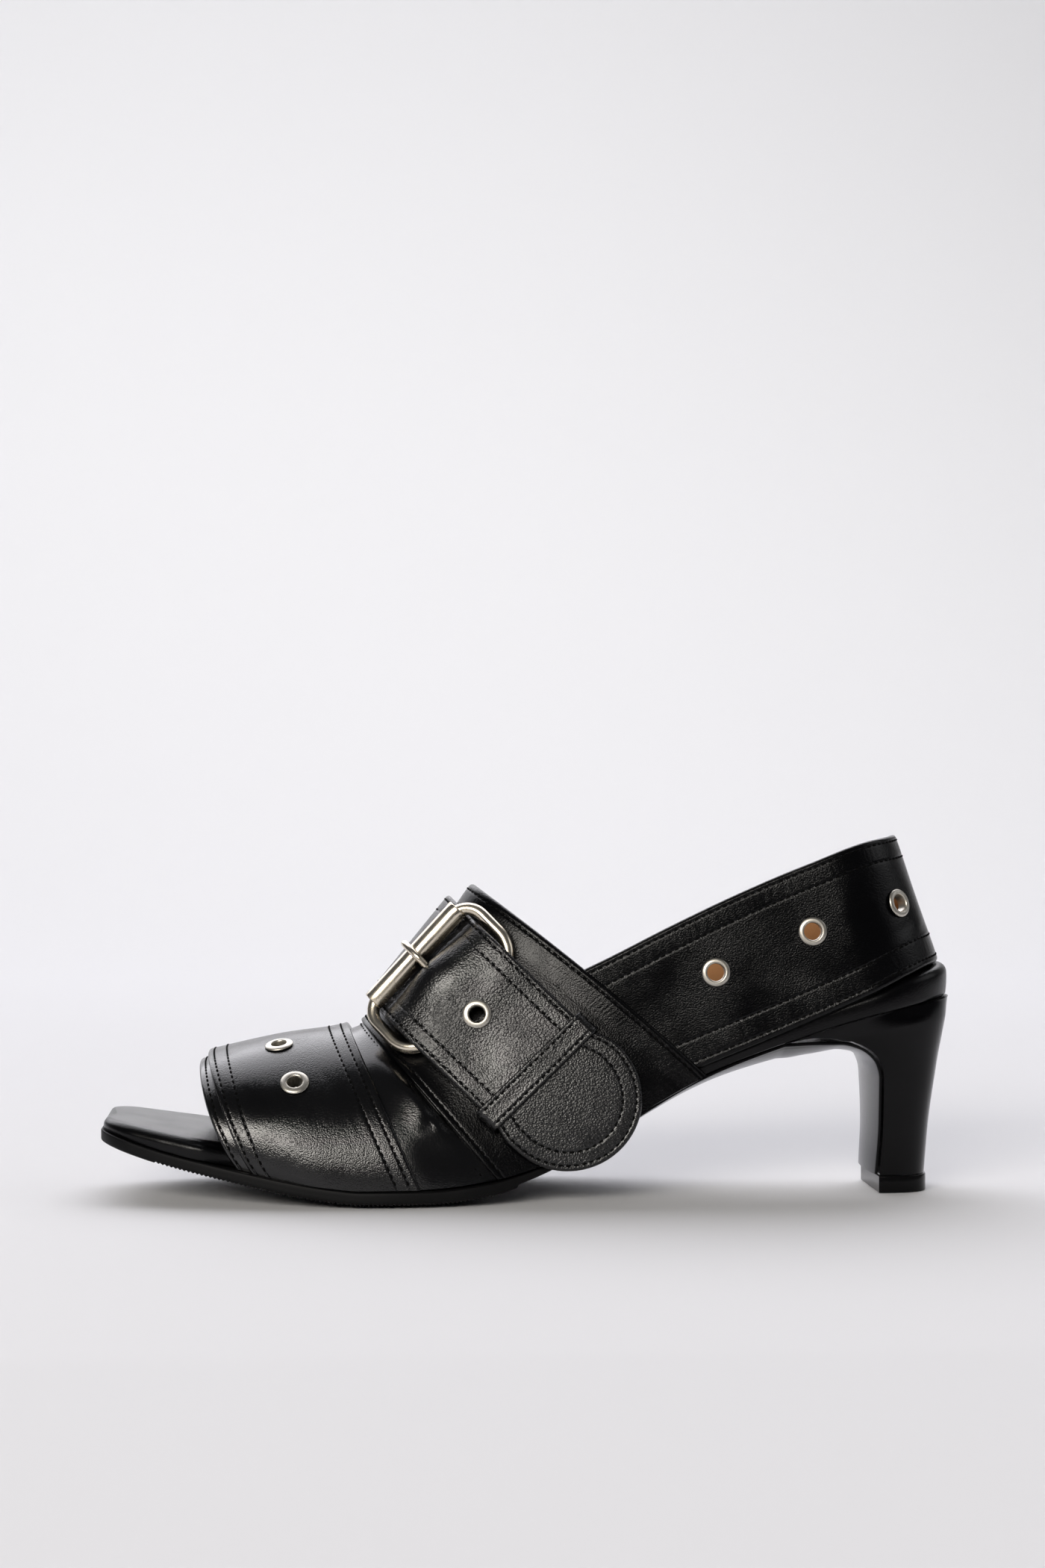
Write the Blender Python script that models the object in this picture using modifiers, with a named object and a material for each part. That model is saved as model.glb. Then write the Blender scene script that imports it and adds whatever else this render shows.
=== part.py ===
"""Buckle sandal, left shoe: black leather upper of wide bands, buckled instep strap, slim covered heel.

Sizes are in millimetres in the shoe's own frame: toe to -X, heel to +X, outer side to -Y, floor at z = 0.
"""
import math
from collections import namedtuple

import bmesh
import bpy
from mathutils import Matrix, Vector

MM = 0.001
GAP = 0.3
CENTRE = Vector((1.7, -0.88, 0.0))

# Scene start: only this part's objects are left in the file.
for thing in list(bpy.data.objects):
    bpy.data.objects.remove(thing, do_unlink=True)
parts = bpy.data.collections.new("buckle_sandal")
cutters = bpy.data.collections.new("cutters")
bpy.context.scene.collection.children.link(parts)
bpy.context.scene.collection.children.link(cutters)


def finish(name, colour, metallic, roughness):
    """One plain surface for a sub-part."""
    material = bpy.data.materials.new(name)
    material.use_nodes = True
    shader = material.node_tree.nodes["Principled BSDF"]
    shader.inputs["Base Color"].default_value = (*colour, 1.0)
    shader.inputs["Metallic"].default_value = metallic
    shader.inputs["Roughness"].default_value = roughness
    return material


LEATHER = finish("black_leather", (0.012, 0.011, 0.011), 0.0, 0.45)
RUBBER = finish("black_rubber", (0.02, 0.02, 0.02), 0.0, 0.6)
NICKEL = finish("nickel", (0.72, 0.68, 0.62), 1.0, 0.25)


def place(name, mesh, material, collection):
    """Puts a mesh into the part or among its cutters, about the part's own centre."""
    thing = bpy.data.objects.new(name, mesh)
    thing.location = -CENTRE * MM
    if material:
        mesh.materials.append(material)
    if collection is cutters:
        thing.hide_render = True
        thing.display_type = "WIRE"
    collection.objects.link(thing)
    return thing


def monotone(rows, key, value):
    """Smooth curve through one table column over another, with no overshoot between its rows."""
    xs = [getattr(row, key) for row in rows]
    ys = [getattr(row, value) for row in rows]
    steps = [b - a for a, b in zip(xs, xs[1:])]
    rises = [(b - a) / step for a, b, step in zip(ys, ys[1:], steps)]
    slopes = [rises[0]]
    for i in range(1, len(rises)):
        before, after = rises[i - 1], rises[i]
        if before * after <= 0:
            slopes.append(0.0)
            continue
        w_before = 2 * steps[i] + steps[i - 1]
        w_after = steps[i] + 2 * steps[i - 1]
        slopes.append((w_before + w_after) / (w_before / before + w_after / after))
    slopes.append(rises[-1])

    def at(x):
        if x <= xs[0]:
            return ys[0] + slopes[0] * (x - xs[0])
        if x >= xs[-1]:
            return ys[-1] + slopes[-1] * (x - xs[-1])
        i = max(k for k in range(len(steps)) if xs[k] <= x)
        s = (x - xs[i]) / steps[i]
        lift = steps[i] * (slopes[i] * s * (1 - s) ** 2 - slopes[i + 1] * s * s * (1 - s))
        return ys[i] + (ys[i + 1] - ys[i]) * s * s * (3 - 2 * s) + lift

    return at


def solid(name, points, faces, material, collection):
    """Closed body from points in millimetres and faces between them."""
    mesh = bpy.data.meshes.new(name)
    bm = bmesh.new()
    verts = [bm.verts.new(Vector(p) * MM) for p in points]
    for face in faces:
        bm.faces.new([verts[i] for i in face])
    bmesh.ops.recalc_face_normals(bm, faces=bm.faces)
    bm.to_mesh(mesh)
    bm.free()
    return place(name, mesh, material, collection)


def wall(name, outer, inner, material, collection=parts):
    """Loft between two matching grids of points: a wall with its four rims."""
    rows, columns = len(outer), len(outer[0])
    far = rows * columns
    points = [p for row in outer for p in row] + [p for row in inner for p in row]
    faces = []
    for i in range(rows - 1):
        for j in range(columns - 1):
            quad = (i * columns + j, i * columns + j + 1, (i + 1) * columns + j + 1, (i + 1) * columns + j)
            faces.append(quad)
            faces.append(tuple(far + k for k in reversed(quad)))
    rim = [j for j in range(columns)]
    rim += [i * columns + columns - 1 for i in range(1, rows)]
    rim += [(rows - 1) * columns + j for j in range(columns - 2, -1, -1)]
    rim += [i * columns for i in range(rows - 2, 0, -1)]
    for a, b in zip(rim, rim[1:] + rim[:1]):
        faces.append((a, far + a, far + b, b))
    return solid(name, points, faces, material, collection)


def loft(name, rings, material, closed=False, collection=parts):
    """Loft through unlike rings of equal count, capped at its ends or closed on itself."""
    count = len(rings[0])
    points = [p for ring in rings for p in ring]
    faces = []
    pairs = list(zip(range(len(rings)), range(1, len(rings))))
    if closed:
        pairs.append((len(rings) - 1, 0))
    for a, b in pairs:
        for j in range(count):
            k = (j + 1) % count
            faces.append((a * count + j, a * count + k, b * count + k, b * count + j))
    if not closed:
        faces.append(tuple(range(count)))
        faces.append(tuple((len(rings) - 1) * count + j for j in range(count)))
    return solid(name, points, faces, material, collection)


def cut(body, operation, tool, label):
    """Adds or takes away a cutter, or a collection of them, with a Boolean."""
    step = body.modifiers.new(label, "BOOLEAN")
    step.operation = operation
    step.solver = "EXACT"
    if isinstance(tool, bpy.types.Collection):
        step.operand_type = "COLLECTION"
        step.collection = tool
    else:
        step.object = tool


# Feather line: height of the joint between outsole and insole along the shoe, with toe spring, tread flat and shank.
Feather = namedtuple("Feather", "x z")
FEATHER = (
    Feather(-118.4, 20.0),
    Feather(-103.0, 15.4),
    Feather(-79.5, 10.2),
    Feather(-66.0, 7.5),
    Feather(-54.0, 5.6),
    Feather(-46.0, 4.9),
    Feather(-28.0, 4.9),
    Feather(-12.0, 6.4),
    Feather(0.0, 9.3),
    Feather(10.0, 13.3),
    Feather(20.0, 18.4),
    Feather(34.0, 26.5),
    Feather(45.0, 32.5),
    Feather(55.0, 37.0),
    Feather(65.0, 40.8),
    Feather(75.0, 44.2),
    Feather(86.0, 47.8),
    Feather(103.0, 52.3),
    Feather(121.5, 55.9),
)
feather = monotone(FEATHER, "x", "z")

# Outsole outline from the toe corners to the tongue of the heel, outer and inner half widths.
Plan = namedtuple("Plan", "x outer inner")
OUTSOLE_PLAN = (
    Plan(-109.4, 26.0, 29.0),
    Plan(-100.0, 30.0, 33.0),
    Plan(-80.0, 36.2, 38.4),
    Plan(-60.0, 40.2, 40.0),
    Plan(-40.0, 41.8, 38.4),
    Plan(-20.0, 39.8, 35.2),
    Plan(0.0, 34.6, 31.4),
    Plan(20.0, 29.6, 28.4),
    Plan(40.0, 26.0, 26.0),
    Plan(60.0, 24.2, 24.6),
    Plan(72.0, 23.6, 24.0),
)
TOE_X = -118.4
TOE_CORNER = 9.0

# Outsole wall: upright edge, rounded belly below it and the share of the width that stays flat.
SoleWall = namedtuple("SoleWall", "x edge belly flat")
SOLE_WALL = (
    SoleWall(-118.4, 3.2, 0.5, 0.62),
    SoleWall(-100.0, 3.3, 0.8, 0.62),
    SoleWall(-62.0, 3.6, 1.0, 0.62),
    SoleWall(-20.0, 3.6, 1.0, 0.62),
    SoleWall(-3.6, 3.1, 0.9, 0.6),
    SoleWall(-3.0, 2.3, 0.9, 0.6),
    SoleWall(20.0, 1.7, 2.2, 0.2),
    SoleWall(34.0, 1.2, 3.1, 0.0),
    SoleWall(55.0, 0.8, 3.8, 0.0),
    SoleWall(72.0, 0.8, 5.0, 0.0),
)
SOLE_X = (-117.4, -114.2, -109.4, -103, -96, -87, -78, -70, -62, -54, -46, -37, -28, -20, -14, -8, -3.6, -3.0, 2, 8, 14,
          20, 27, 34, 41, 48, 55, 62, 69)
ACROSS = (-1.0, -0.88, -0.74, -0.6, -0.3, 0.0, 0.3, 0.6, 0.74, 0.88, 1.0)

# Flap of the outsole under the heel's tongue and down its breast; turn 0 faces the floor, 90 the toe.
Flap = namedtuple("Flap", "x z turn edge belly half")
FLAP = (
    Flap(74.0, 43.0, 0, 0.8, 5.0, 23.6),
    Flap(81.0, 43.3, 4, 0.8, 4.2, 23.4),
    Flap(88.0, 43.3, 12, 0.8, 2.9, 22.9),
    Flap(93.4, 42.0, 30, 0.8, 2.0, 21.8),
    Flap(96.8, 39.9, 50, 0.8, 1.4, 20.6),
    Flap(99.2, 36.9, 70, 0.8, 1.1, 19.4),
    Flap(100.3, 32.8, 86, 0.8, 0.9, 18.2),
    Flap(100.5, 20.0, 90, 0.8, 0.8, 15.9),
    Flap(99.7, 5.3, 92, 0.8, 0.8, 14.3),
)


def toe_corner(x, half, nose):
    """Half width where the square toe turns its corner at the nose."""
    if x >= nose + TOE_CORNER:
        return half
    reach = (nose + TOE_CORNER - x) / TOE_CORNER
    return half - TOE_CORNER * (1 - math.sqrt(max(0.0, 1 - reach * reach)))


def belly(across, flat):
    """Share of the belly's depth at a place across the sole."""
    beyond = max(0.0, abs(across) - flat) / (1 - flat)
    return 1 - beyond * beyond


sole_outer = monotone(OUTSOLE_PLAN, "x", "outer")
sole_inner = monotone(OUTSOLE_PLAN, "x", "inner")
sole_edge = monotone(SOLE_WALL, "x", "edge")
sole_belly = monotone(SOLE_WALL, "x", "belly")
sole_flat = monotone(SOLE_WALL, "x", "flat")
sole_top, sole_under = [], []
for x in (TOE_X,) + SOLE_X:
    outer = toe_corner(x, sole_outer(x), TOE_X)
    inner = toe_corner(x, sole_inner(x), TOE_X)
    top_z = feather(x) - GAP
    sole_top.append([(x, v * (outer if v < 0 else inner), top_z) for v in ACROSS])
    depths = [sole_edge(x) + sole_belly(x) * belly(v, sole_flat(x)) for v in ACROSS]
    sole_under.append([(x, y, top_z - depth) for (_, y, _), depth in zip(sole_top[-1], depths)])
for row in FLAP:
    lean = math.radians(row.turn)
    sole_top.append([(row.x, v * row.half, row.z) for v in ACROSS])
    depths = [row.edge + row.belly * belly(v, 0.0) for v in ACROSS]
    sole_under.append([(row.x - depth * math.sin(lean), v * row.half, row.z - depth * math.cos(lean))
                       for v, depth in zip(ACROSS, depths)])
wall("outsole", sole_top, sole_under, RUBBER)

# Insole: padded footbed, full width in the open toe and at the heel, drawn in where the bands go down beside it.
INSOLE_PLAN = (
    Plan(-108.0, 25.2, 28.2),
    Plan(-100.0, 28.8, 31.7),
    Plan(-90.0, 31.8, 34.6),
    Plan(-82.0, 30.2, 32.2),
    Plan(-70.0, 32.6, 33.4),
    Plan(-54.0, 35.0, 34.2),
    Plan(-30.0, 35.6, 31.6),
    Plan(-9.5, 32.0, 28.0),
    Plan(18.5, 27.6, 25.8),
    Plan(46.0, 25.6, 25.0),
    Plan(75.0, 25.2, 25.0),
    Plan(95.0, 25.0, 25.0),
)
InsoleWall = namedtuple("InsoleWall", "x thick round")
INSOLE_WALL = (
    InsoleWall(-117.0, 2.8, 1.4),
    InsoleWall(-110.0, 4.2, 1.9),
    InsoleWall(-100.0, 5.2, 2.2),
    InsoleWall(-86.0, 5.8, 2.2),
    InsoleWall(20.0, 6.0, 2.2),
    InsoleWall(60.0, 6.0, 2.2),
    InsoleWall(96.0, 6.3, 2.4),
    InsoleWall(107.0, 7.2, 2.6),
    InsoleWall(121.7, 8.8, 2.8),
)
HEEL_TURN = 95.0
HEEL_END = 121.7
HEEL_FULL = 2.3
insole_outer = monotone(INSOLE_PLAN, "x", "outer")
insole_inner = monotone(INSOLE_PLAN, "x", "inner")
insole_thick = monotone(INSOLE_WALL, "x", "thick")
insole_round = monotone(INSOLE_WALL, "x", "round")
INSOLE_NOSE = -117.0
INSOLE_X = (-117.0, -116.0, -113.0, -108.0, -102, -96, -91, -86, -81, -74, -66, -56, -46, -28, -18, -9, 0, 10, 20, 32,
            46, 60, 78, 95)
HEEL_STEPS = (15, 30, 43, 55, 66, 75, 82)
CUSHION = (-1.0, -0.98, -0.94, -0.9, -0.5, 0.0, 0.5, 0.9, 0.94, 0.98, 1.0)


def insole_halves(x):
    """Outer and inner half widths of the insole, with its nose and heel rounded off."""
    if x > HEEL_TURN:
        share = (1 - ((x - HEEL_TURN) / (HEEL_END - HEEL_TURN)) ** HEEL_FULL) ** (1 / HEEL_FULL)
        return insole_outer(HEEL_TURN) * share, insole_inner(HEEL_TURN) * share
    return toe_corner(x, insole_outer(x), INSOLE_NOSE), toe_corner(x, insole_inner(x), INSOLE_NOSE)


def cushion_drop(across, radius):
    """How far the rounded rim of the insole falls below its top."""
    beyond = max(0.0, abs(across) - 0.9) / 0.1
    return radius * (1 - math.sqrt(max(0.0, 1 - beyond * beyond)))


heel_x = [HEEL_TURN + (HEEL_END - HEEL_TURN) * math.sin(math.radians(a)) ** (2 / HEEL_FULL) for a in HEEL_STEPS]
insole_top, insole_under = [], []
for x in list(INSOLE_X) + heel_x:
    outer, inner = insole_halves(x)
    ys = [v * (outer if v < 0 else inner) for v in CUSHION]
    insole_under.append([(x, y, feather(x)) for y in ys])
    insole_top.append([(x, y, feather(x) + insole_thick(x) - cushion_drop(v, insole_round(x)))
                       for v, y in zip(CUSHION, ys)])
wall("insole", insole_top, insole_under, LEATHER)

# Heel: covered block from the seat down to the tip, one row per ring, front tongue first.
HeelRing = namedtuple("HeelRing", "front_x front_z rear_x rear_z half square")
HEEL_RINGS = (
    HeelRing(72.0, 42.8, 121.8, 55.6, 24.8, 3.6),
    HeelRing(88.0, 43.8, 121.3, 50.5, 23.8, 3.5),
    HeelRing(93.8, 42.4, 120.7, 46.5, 22.6, 3.4),
    HeelRing(97.2, 40.3, 120.2, 43.0, 21.4, 3.3),
    HeelRing(99.6, 37.3, 119.5, 39.0, 20.2, 3.2),
    HeelRing(100.7, 33.0, 118.6, 33.0, 18.9, 3.2),
    HeelRing(100.9, 20.0, 116.5, 19.5, 16.6, 3.2),
    HeelRing(100.1, 5.2, 114.9, 5.2, 15.0, 3.2),
)
HEEL_SIDES = 26
TIP_HEIGHT = 4.9


def heel_outline(ring):
    """D-shaped outline of one ring: flat at the breast, rounded at the back."""
    points = []
    for i in range(HEEL_SIDES + 1):
        angle = math.pi * (i / HEEL_SIDES - 0.5)
        along = math.cos(angle) ** (2 / ring.square) if abs(angle) < math.pi / 2 - 1e-6 else 0.0
        aside = math.copysign(abs(math.sin(angle)) ** (2 / ring.square), angle)
        points.append((ring.front_x + (ring.rear_x - ring.front_x) * along, ring.half * aside, along))
    return points


rings = []
for ring in HEEL_RINGS:
    rings.append([(x, y, ring.front_z + (ring.rear_z - ring.front_z) * along) for x, y, along in heel_outline(ring)])
rings[0] = [(x, y, feather(x) - GAP) for x, y, _ in rings[0]]
loft("heel", rings, LEATHER)

# Top piece: flat rubber tip, a hair wider than the foot of the heel.
tip = HEEL_RINGS[-1]._replace(front_x=99.9, rear_x=115.1, half=15.2)
loft("top_piece", [[(x, y, z) for x, y, _ in heel_outline(tip)] for z in (TIP_HEIGHT, 0.0)], RUBBER)

# Last: girths from the toe opening to the collar. Each is an arch in the plane of its base and ridge points.
Girth = namedtuple("Girth", "name run ridge_x ridge_z ridge_y base_x outer inner full bow")
GIRTHS = (
    Girth("toe opening", 0.0, -89.1, 35.9, 3.0, -79.8, 31.2, 33.2, 2.0, 3.4),
    Girth("band front", 3.2, -86.1, 36.7, 3.0, -76.7, 31.9, 33.6, 2.0, 2.2),
    Girth("ball", 22.0, -67.6, 40.6, 3.0, -54.0, 36.0, 35.2, 2.0, 0.8),
    Girth("band rear", 41.5, -48.5, 43.7, 3.0, -30.2, 36.6, 32.6, 2.05, 0.0),
    Girth("seam", 46.5, -44.2, 45.8, 3.0, -9.5, 33.0, 29.0, 2.1, 0.0),
    Girth("instep", 72.0, -28.3, 65.2, 2.0, 18.5, 28.6, 26.8, 2.2, 0.0),
    Girth("collar", 98.0, -11.9, 85.4, 1.0, 49.5, 26.4, 25.8, 2.3, -1.6),
)
girth = {column: monotone(GIRTHS, "run", column) for column in Girth._fields[2:]}
SEAM_RUN = 46.5
COLLAR_RUN = 98.0
BAND_FRONT = 3.2
BAND_REAR = 41.5
STRAP_RUN = 72.0


def last_point(run, around):
    """Point of the last on a girth: around is -1 at the outer base, 0 on the ridge, 1 at the inner base."""
    angle = abs(around) * math.pi / 2
    power = 2 / girth["full"](run)
    rise = max(0.0, math.cos(angle)) ** power
    spread = math.sin(angle) ** power
    base_x = girth["base_x"](run)
    ridge_y = girth["ridge_y"](run)
    reach = girth["inner"](run) - ridge_y if around > 0 else -girth["outer"](run) - ridge_y
    x = base_x + (girth["ridge_x"](run) - base_x) * rise - girth["bow"](run) * 4 * rise * (1 - rise)
    z = feather(base_x) + (girth["ridge_z"](run) - feather(base_x)) * rise
    return Vector((x, ridge_y + reach * spread, z))


def last_normal(run, around):
    """Outward direction of the last there."""
    here = max(-0.985, min(0.985, around))
    along = last_point(run + 0.4, here) - last_point(run - 0.4, here)
    across = last_point(run, here + 0.012) - last_point(run, here - 0.012)
    normal = along.cross(across).normalized()
    if abs(around) > 0.97:
        normal.z = max(normal.z, 0.0)
    return normal.normalized()


# Upper, front: one wall whose steps are the under-vamp, the toe band, the middle panel and the instep band.
WallStep = namedtuple("WallStep", "start end outside inside rows")
WALL_STEPS = (
    WallStep(0.0, BAND_FRONT, 2.0, 0.0, 2),
    WallStep(BAND_FRONT, BAND_REAR, 4.0, 0.0, 6),
    WallStep(BAND_REAR, SEAM_RUN, 2.0, 0.0, 3),
    WallStep(SEAM_RUN, COLLAR_RUN, 3.2, 0.0, 8),
)
STEP_RUN = 0.05
ARCH = 26
outer_rows, inner_rows = [], []
for step in WALL_STEPS:
    first = step.start + (STEP_RUN if step.start else 0.0)
    for i in range(step.rows + 1):
        run = first + (step.end - first) * i / step.rows
        arch = [(2 * j / ARCH - 1) for j in range(ARCH + 1)]
        points = [(last_point(run, a), last_normal(run, a)) for a in arch]
        outer_rows.append([p + n * step.outside for p, n in points])
        inner_rows.append([p + n * step.inside for p, n in points])
upper = wall("upper", outer_rows, inner_rows, LEATHER)

# Upper, back: the counter, a wide belt round the heel that leans in at its top and goes under the instep band.
CounterEdge = namedtuple("CounterEdge", "x low_z low_half")
COUNTER_LOW = (
    CounterEdge(18.0, 25.0, 26.4),
    CounterEdge(49.0, 37.3, 25.9),
    CounterEdge(77.5, 48.9, 25.7),
    CounterEdge(96.5, 57.3, 25.4),
    CounterEdge(107.0, 62.4, 25.4),
    CounterEdge(113.0, 64.4, 25.4),
    CounterEdge(119.0, 65.2, 25.4),
)
CounterTop = namedtuple("CounterTop", "x top_z top_half inner_drop")
COUNTER_TOP = (
    CounterTop(2.0, 57.6, 23.6, 2.4),
    CounterTop(21.5, 66.7, 23.2, 2.4),
    CounterTop(40.6, 76.3, 22.9, 2.4),
    CounterTop(60.0, 85.4, 22.6, 2.4),
    CounterTop(77.5, 92.5, 22.4, 2.2),
    CounterTop(96.5, 99.5, 22.4, 1.0),
    CounterTop(106.7, 101.7, 22.4, 0.0),
)
CounterPath = namedtuple("CounterPath", "front turn end")
LOW_PATH = CounterPath(18.0, 94.0, 117.0)
TOP_PATH = CounterPath(2.0, 82.0, 104.6)
COUNTER_WALL = 2.2
COUNTER_FULL = 2.1
SIDE_ROWS = 9
BACK_ROWS = 14
BELT_ROWS = 6
low_z = monotone(COUNTER_LOW, "x", "low_z")
low_half = monotone(COUNTER_LOW, "x", "low_half")
top_z = monotone(COUNTER_TOP, "x", "top_z")
top_half = monotone(COUNTER_TOP, "x", "top_half")
inner_drop = monotone(COUNTER_TOP, "x", "inner_drop")


def counter_edge(path, half, height, round_the_heel):
    """Point of the belt's lower or upper edge: 0 at the outer front end, 1 at the back, 2 at the inner front end."""
    side = -1.0 if round_the_heel < 1.0 else 1.0
    ahead = 1.0 - abs(round_the_heel - 1.0)
    straight = SIDE_ROWS / (SIDE_ROWS + BACK_ROWS / 2)
    if ahead <= straight:
        x = path.front + (path.turn - path.front) * ahead / straight
        return Vector((x, side * half(x), height(x)))
    angle = (ahead - straight) / (1 - straight) * math.pi / 2
    x = path.turn + (path.end - path.turn) * math.sin(angle) ** (2 / COUNTER_FULL)
    y = side * half(path.turn) * max(0.0, math.cos(angle)) ** (2 / COUNTER_FULL)
    return Vector((x, y, height(x)))


def counter_point(round_the_heel, up):
    """Point of the belt's inner face, up is 0 at its lower edge and 1 at its upper edge."""
    low = counter_edge(LOW_PATH, low_half, low_z, round_the_heel)
    top = counter_edge(TOP_PATH, top_half, top_z, round_the_heel)
    if round_the_heel > 1.0:
        top.z -= inner_drop(top.x)
    return low.lerp(top, up)


def counter_normal(round_the_heel, up):
    """Outward direction of the belt."""
    ahead = counter_point(round_the_heel + 0.01, up) - counter_point(round_the_heel - 0.01, up)
    rise = counter_point(round_the_heel, 1.0) - counter_point(round_the_heel, 0.0)
    return ahead.cross(rise).normalized()


belt = [2.0 * i / (2 * SIDE_ROWS + BACK_ROWS) for i in range(2 * SIDE_ROWS + BACK_ROWS + 1)]
counter_inner = [[counter_point(s, i / BELT_ROWS) for i in range(BELT_ROWS + 1)] for s in belt]
counter_outer = [[counter_point(s, i / BELT_ROWS) + counter_normal(s, i / BELT_ROWS) * COUNTER_WALL
                  for i in range(BELT_ROWS + 1)] for s in belt]
counter = wall("counter_belt", counter_outer, counter_inner, None, cutters)
cut(upper, "UNION", counter, "counter")

# Strap: girth line over the instep, measured along the leather from the ridge, plus to the outer side.
TURN_POINTS = 240
PANEL = 3.2
base = last_point(STRAP_RUN, -1.0)
ridge = last_point(STRAP_RUN, 0.0)
rise_dir = Vector((ridge.x - base.x, 0.0, ridge.z - base.z)).normalized()
width_dir = Vector((rise_dir.z, 0.0, -rise_dir.x))
TIP_LEAN = 0.02
girth_line = []
for i in range(TURN_POINTS + 1):
    around = 1.0 - 2.0 * i / TURN_POINTS
    girth_line.append((around, last_point(STRAP_RUN, around)))
lengths = [0.0]
for (_, a), (_, b) in zip(girth_line, girth_line[1:]):
    lengths.append(lengths[-1] + (b - a).length)
ridge_at = lengths[TURN_POINTS // 2]
lengths = [length - ridge_at for length in lengths]


def strap_frame(along):
    """Point of the last under the strap, its outward direction there and the slope across the strap."""
    reach = max(0.0, along - lengths[-1], lengths[0] - along)
    lean = -TIP_LEAN if along > 0 else TIP_LEAN
    along = max(lengths[0], min(lengths[-1], along))
    i = min(TURN_POINTS - 1, max(k for k in range(TURN_POINTS + 1) if lengths[k] <= along + 1e-9))
    share = (along - lengths[i]) / (lengths[i + 1] - lengths[i])
    around = girth_line[i][0] + (girth_line[i + 1][0] - girth_line[i][0]) * share
    point = last_point(STRAP_RUN, around)
    normal = last_normal(STRAP_RUN, around)
    flat = (normal - width_dir * normal.dot(width_dir)).normalized()
    slope = -normal.dot(width_dir) / normal.dot(flat)
    point = point + (Vector((0.0, lean, 0.0)) - rise_dir) * reach
    return point, flat, slope


# Height of the strap's inner face above the instep band: under the roller, over the prong and heel bar, then down.
Lift = namedtuple("Lift", "along lift")
LIFTS = (
    Lift(-90.0, 1.0),
    Lift(-40.0, 0.9),
    Lift(-12.0, 0.8),
    Lift(4.0, 0.8),
    Lift(13.0, 0.8),
    Lift(15.0, 1.1),
    Lift(20.5, 4.6),
    Lift(24.0, 5.6),
    Lift(31.0, 5.6),
    Lift(40.0, 3.6),
    Lift(48.0, 3.1),
    Lift(90.0, 3.0),
)
strap_lift = monotone(LIFTS, "along", "lift")
STRAP_THICK = 2.3
STRAP_END = 85.3
TIP_RADIUS = 19.6
StrapHalf = namedtuple("StrapHalf", "along half")
STRAP_HALF = (StrapHalf(-95.0, 18.5), StrapHalf(60.0, 18.5), StrapHalf(70.0, 19.6), StrapHalf(96.0, 19.6))
strap_half = monotone(STRAP_HALF, "along", "half")


def strap_point(along, across, above):
    """Point over the instep band: along the strap, across it from toe side to heel side, above the band."""
    point, flat, slope = strap_frame(along)
    return point + width_dir * across + flat * (PANEL + above + slope * across)


def tip_half(along):
    """Half width of the strap, rounded off at its tip."""
    past = max(0.0, along - (STRAP_END - TIP_RADIUS)) / TIP_RADIUS
    return strap_half(along) * math.sqrt(max(0.0, 1 - past * past))


def sole_end(across):
    """Where the strap's inner end meets the feather line, at a place across it."""
    low, high = lengths[0] - 14.0, -30.0
    for _ in range(30):
        along = (low + high) / 2
        point = strap_point(along, across, 0.0)
        if point.z < feather(point.x) + GAP:
            low = along
        else:
            high = along
    return high


INNER_ROWS = 10
INNER_TOP = -14.0
STRAP_COLUMNS = 4
columns = [2 * j / STRAP_COLUMNS - 1 for j in range(STRAP_COLUMNS + 1)]
ends = [sole_end(v * strap_half(INNER_TOP)) for v in columns]
strap_at = [[end + (INNER_TOP - end) * i / INNER_ROWS for end in ends] for i in range(INNER_ROWS)]
middle = [INNER_TOP, -9.5, -6, -3, 0, 3, 7, 11, 13, 15, 17, 19, 21, 23, 25, 28, 31, 34, 37, 41, 45, 50, 56, 61]
middle += [STRAP_END - TIP_RADIUS * (1 - math.sin(math.radians(a))) for a in (0, 20, 38, 54, 67, 77, 85)]
strap_at += [[along] * len(columns) for along in middle]
strap_outer, strap_inner = [], []
for row in strap_at:
    spots = [(along, v * tip_half(along), strap_lift(along)) for along, v in zip(row, columns)]
    strap_outer.append([strap_point(along, across, lift + STRAP_THICK) for along, across, lift in spots])
    strap_inner.append([strap_point(along, across, lift) for along, across, lift in spots])
strap = wall("buckle_strap", strap_outer, strap_inner, LEATHER)

# Keeper: closed leather loop round the strap.
KEEPER_AT = 56.0
KEEPER_WIDE = 7.2
KEEPER_THICK = 1.3
KEEPER_CORNER = 1.0
keeper_low = strap_lift(KEEPER_AT) - GAP
keeper_high = strap_lift(KEEPER_AT) + STRAP_THICK + GAP
keeper_side = strap_half(KEEPER_AT) + 0.5


def keeper_loop(grow):
    """Rounded rectangle round the strap's section, grown by the leather's thickness for its outer face."""
    corner = KEEPER_CORNER + grow
    points = []
    for turn in range(4):
        sign_q = (1, -1, -1, 1)[turn]
        sign_o = (1, 1, -1, -1)[turn]
        centre_q = sign_q * (keeper_side + grow - corner)
        centre_o = (keeper_high + grow - corner) if sign_o > 0 else (keeper_low - grow + corner)
        for i in range(4):
            angle = math.radians(turn * 90 + 30 * i)
            points.append((centre_q + corner * math.cos(angle), centre_o + corner * math.sin(angle)))
        if turn in (0, 2):
            for share in (1 / 3, 0.5, 2 / 3):
                points.append((sign_q * (keeper_side + grow - corner) * (1 - 2 * share),
                               keeper_high + grow if sign_o > 0 else keeper_low - grow))
    return points


def keeper_ring(inside, outside):
    """Four corners of the loop's section at one place round the strap."""
    ends = (KEEPER_AT - KEEPER_WIDE / 2, KEEPER_AT + KEEPER_WIDE / 2)
    ring = [strap_point(ends[0], *inside), strap_point(ends[1], *inside)]
    return ring + [strap_point(ends[1], *outside), strap_point(ends[0], *outside)]


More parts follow.
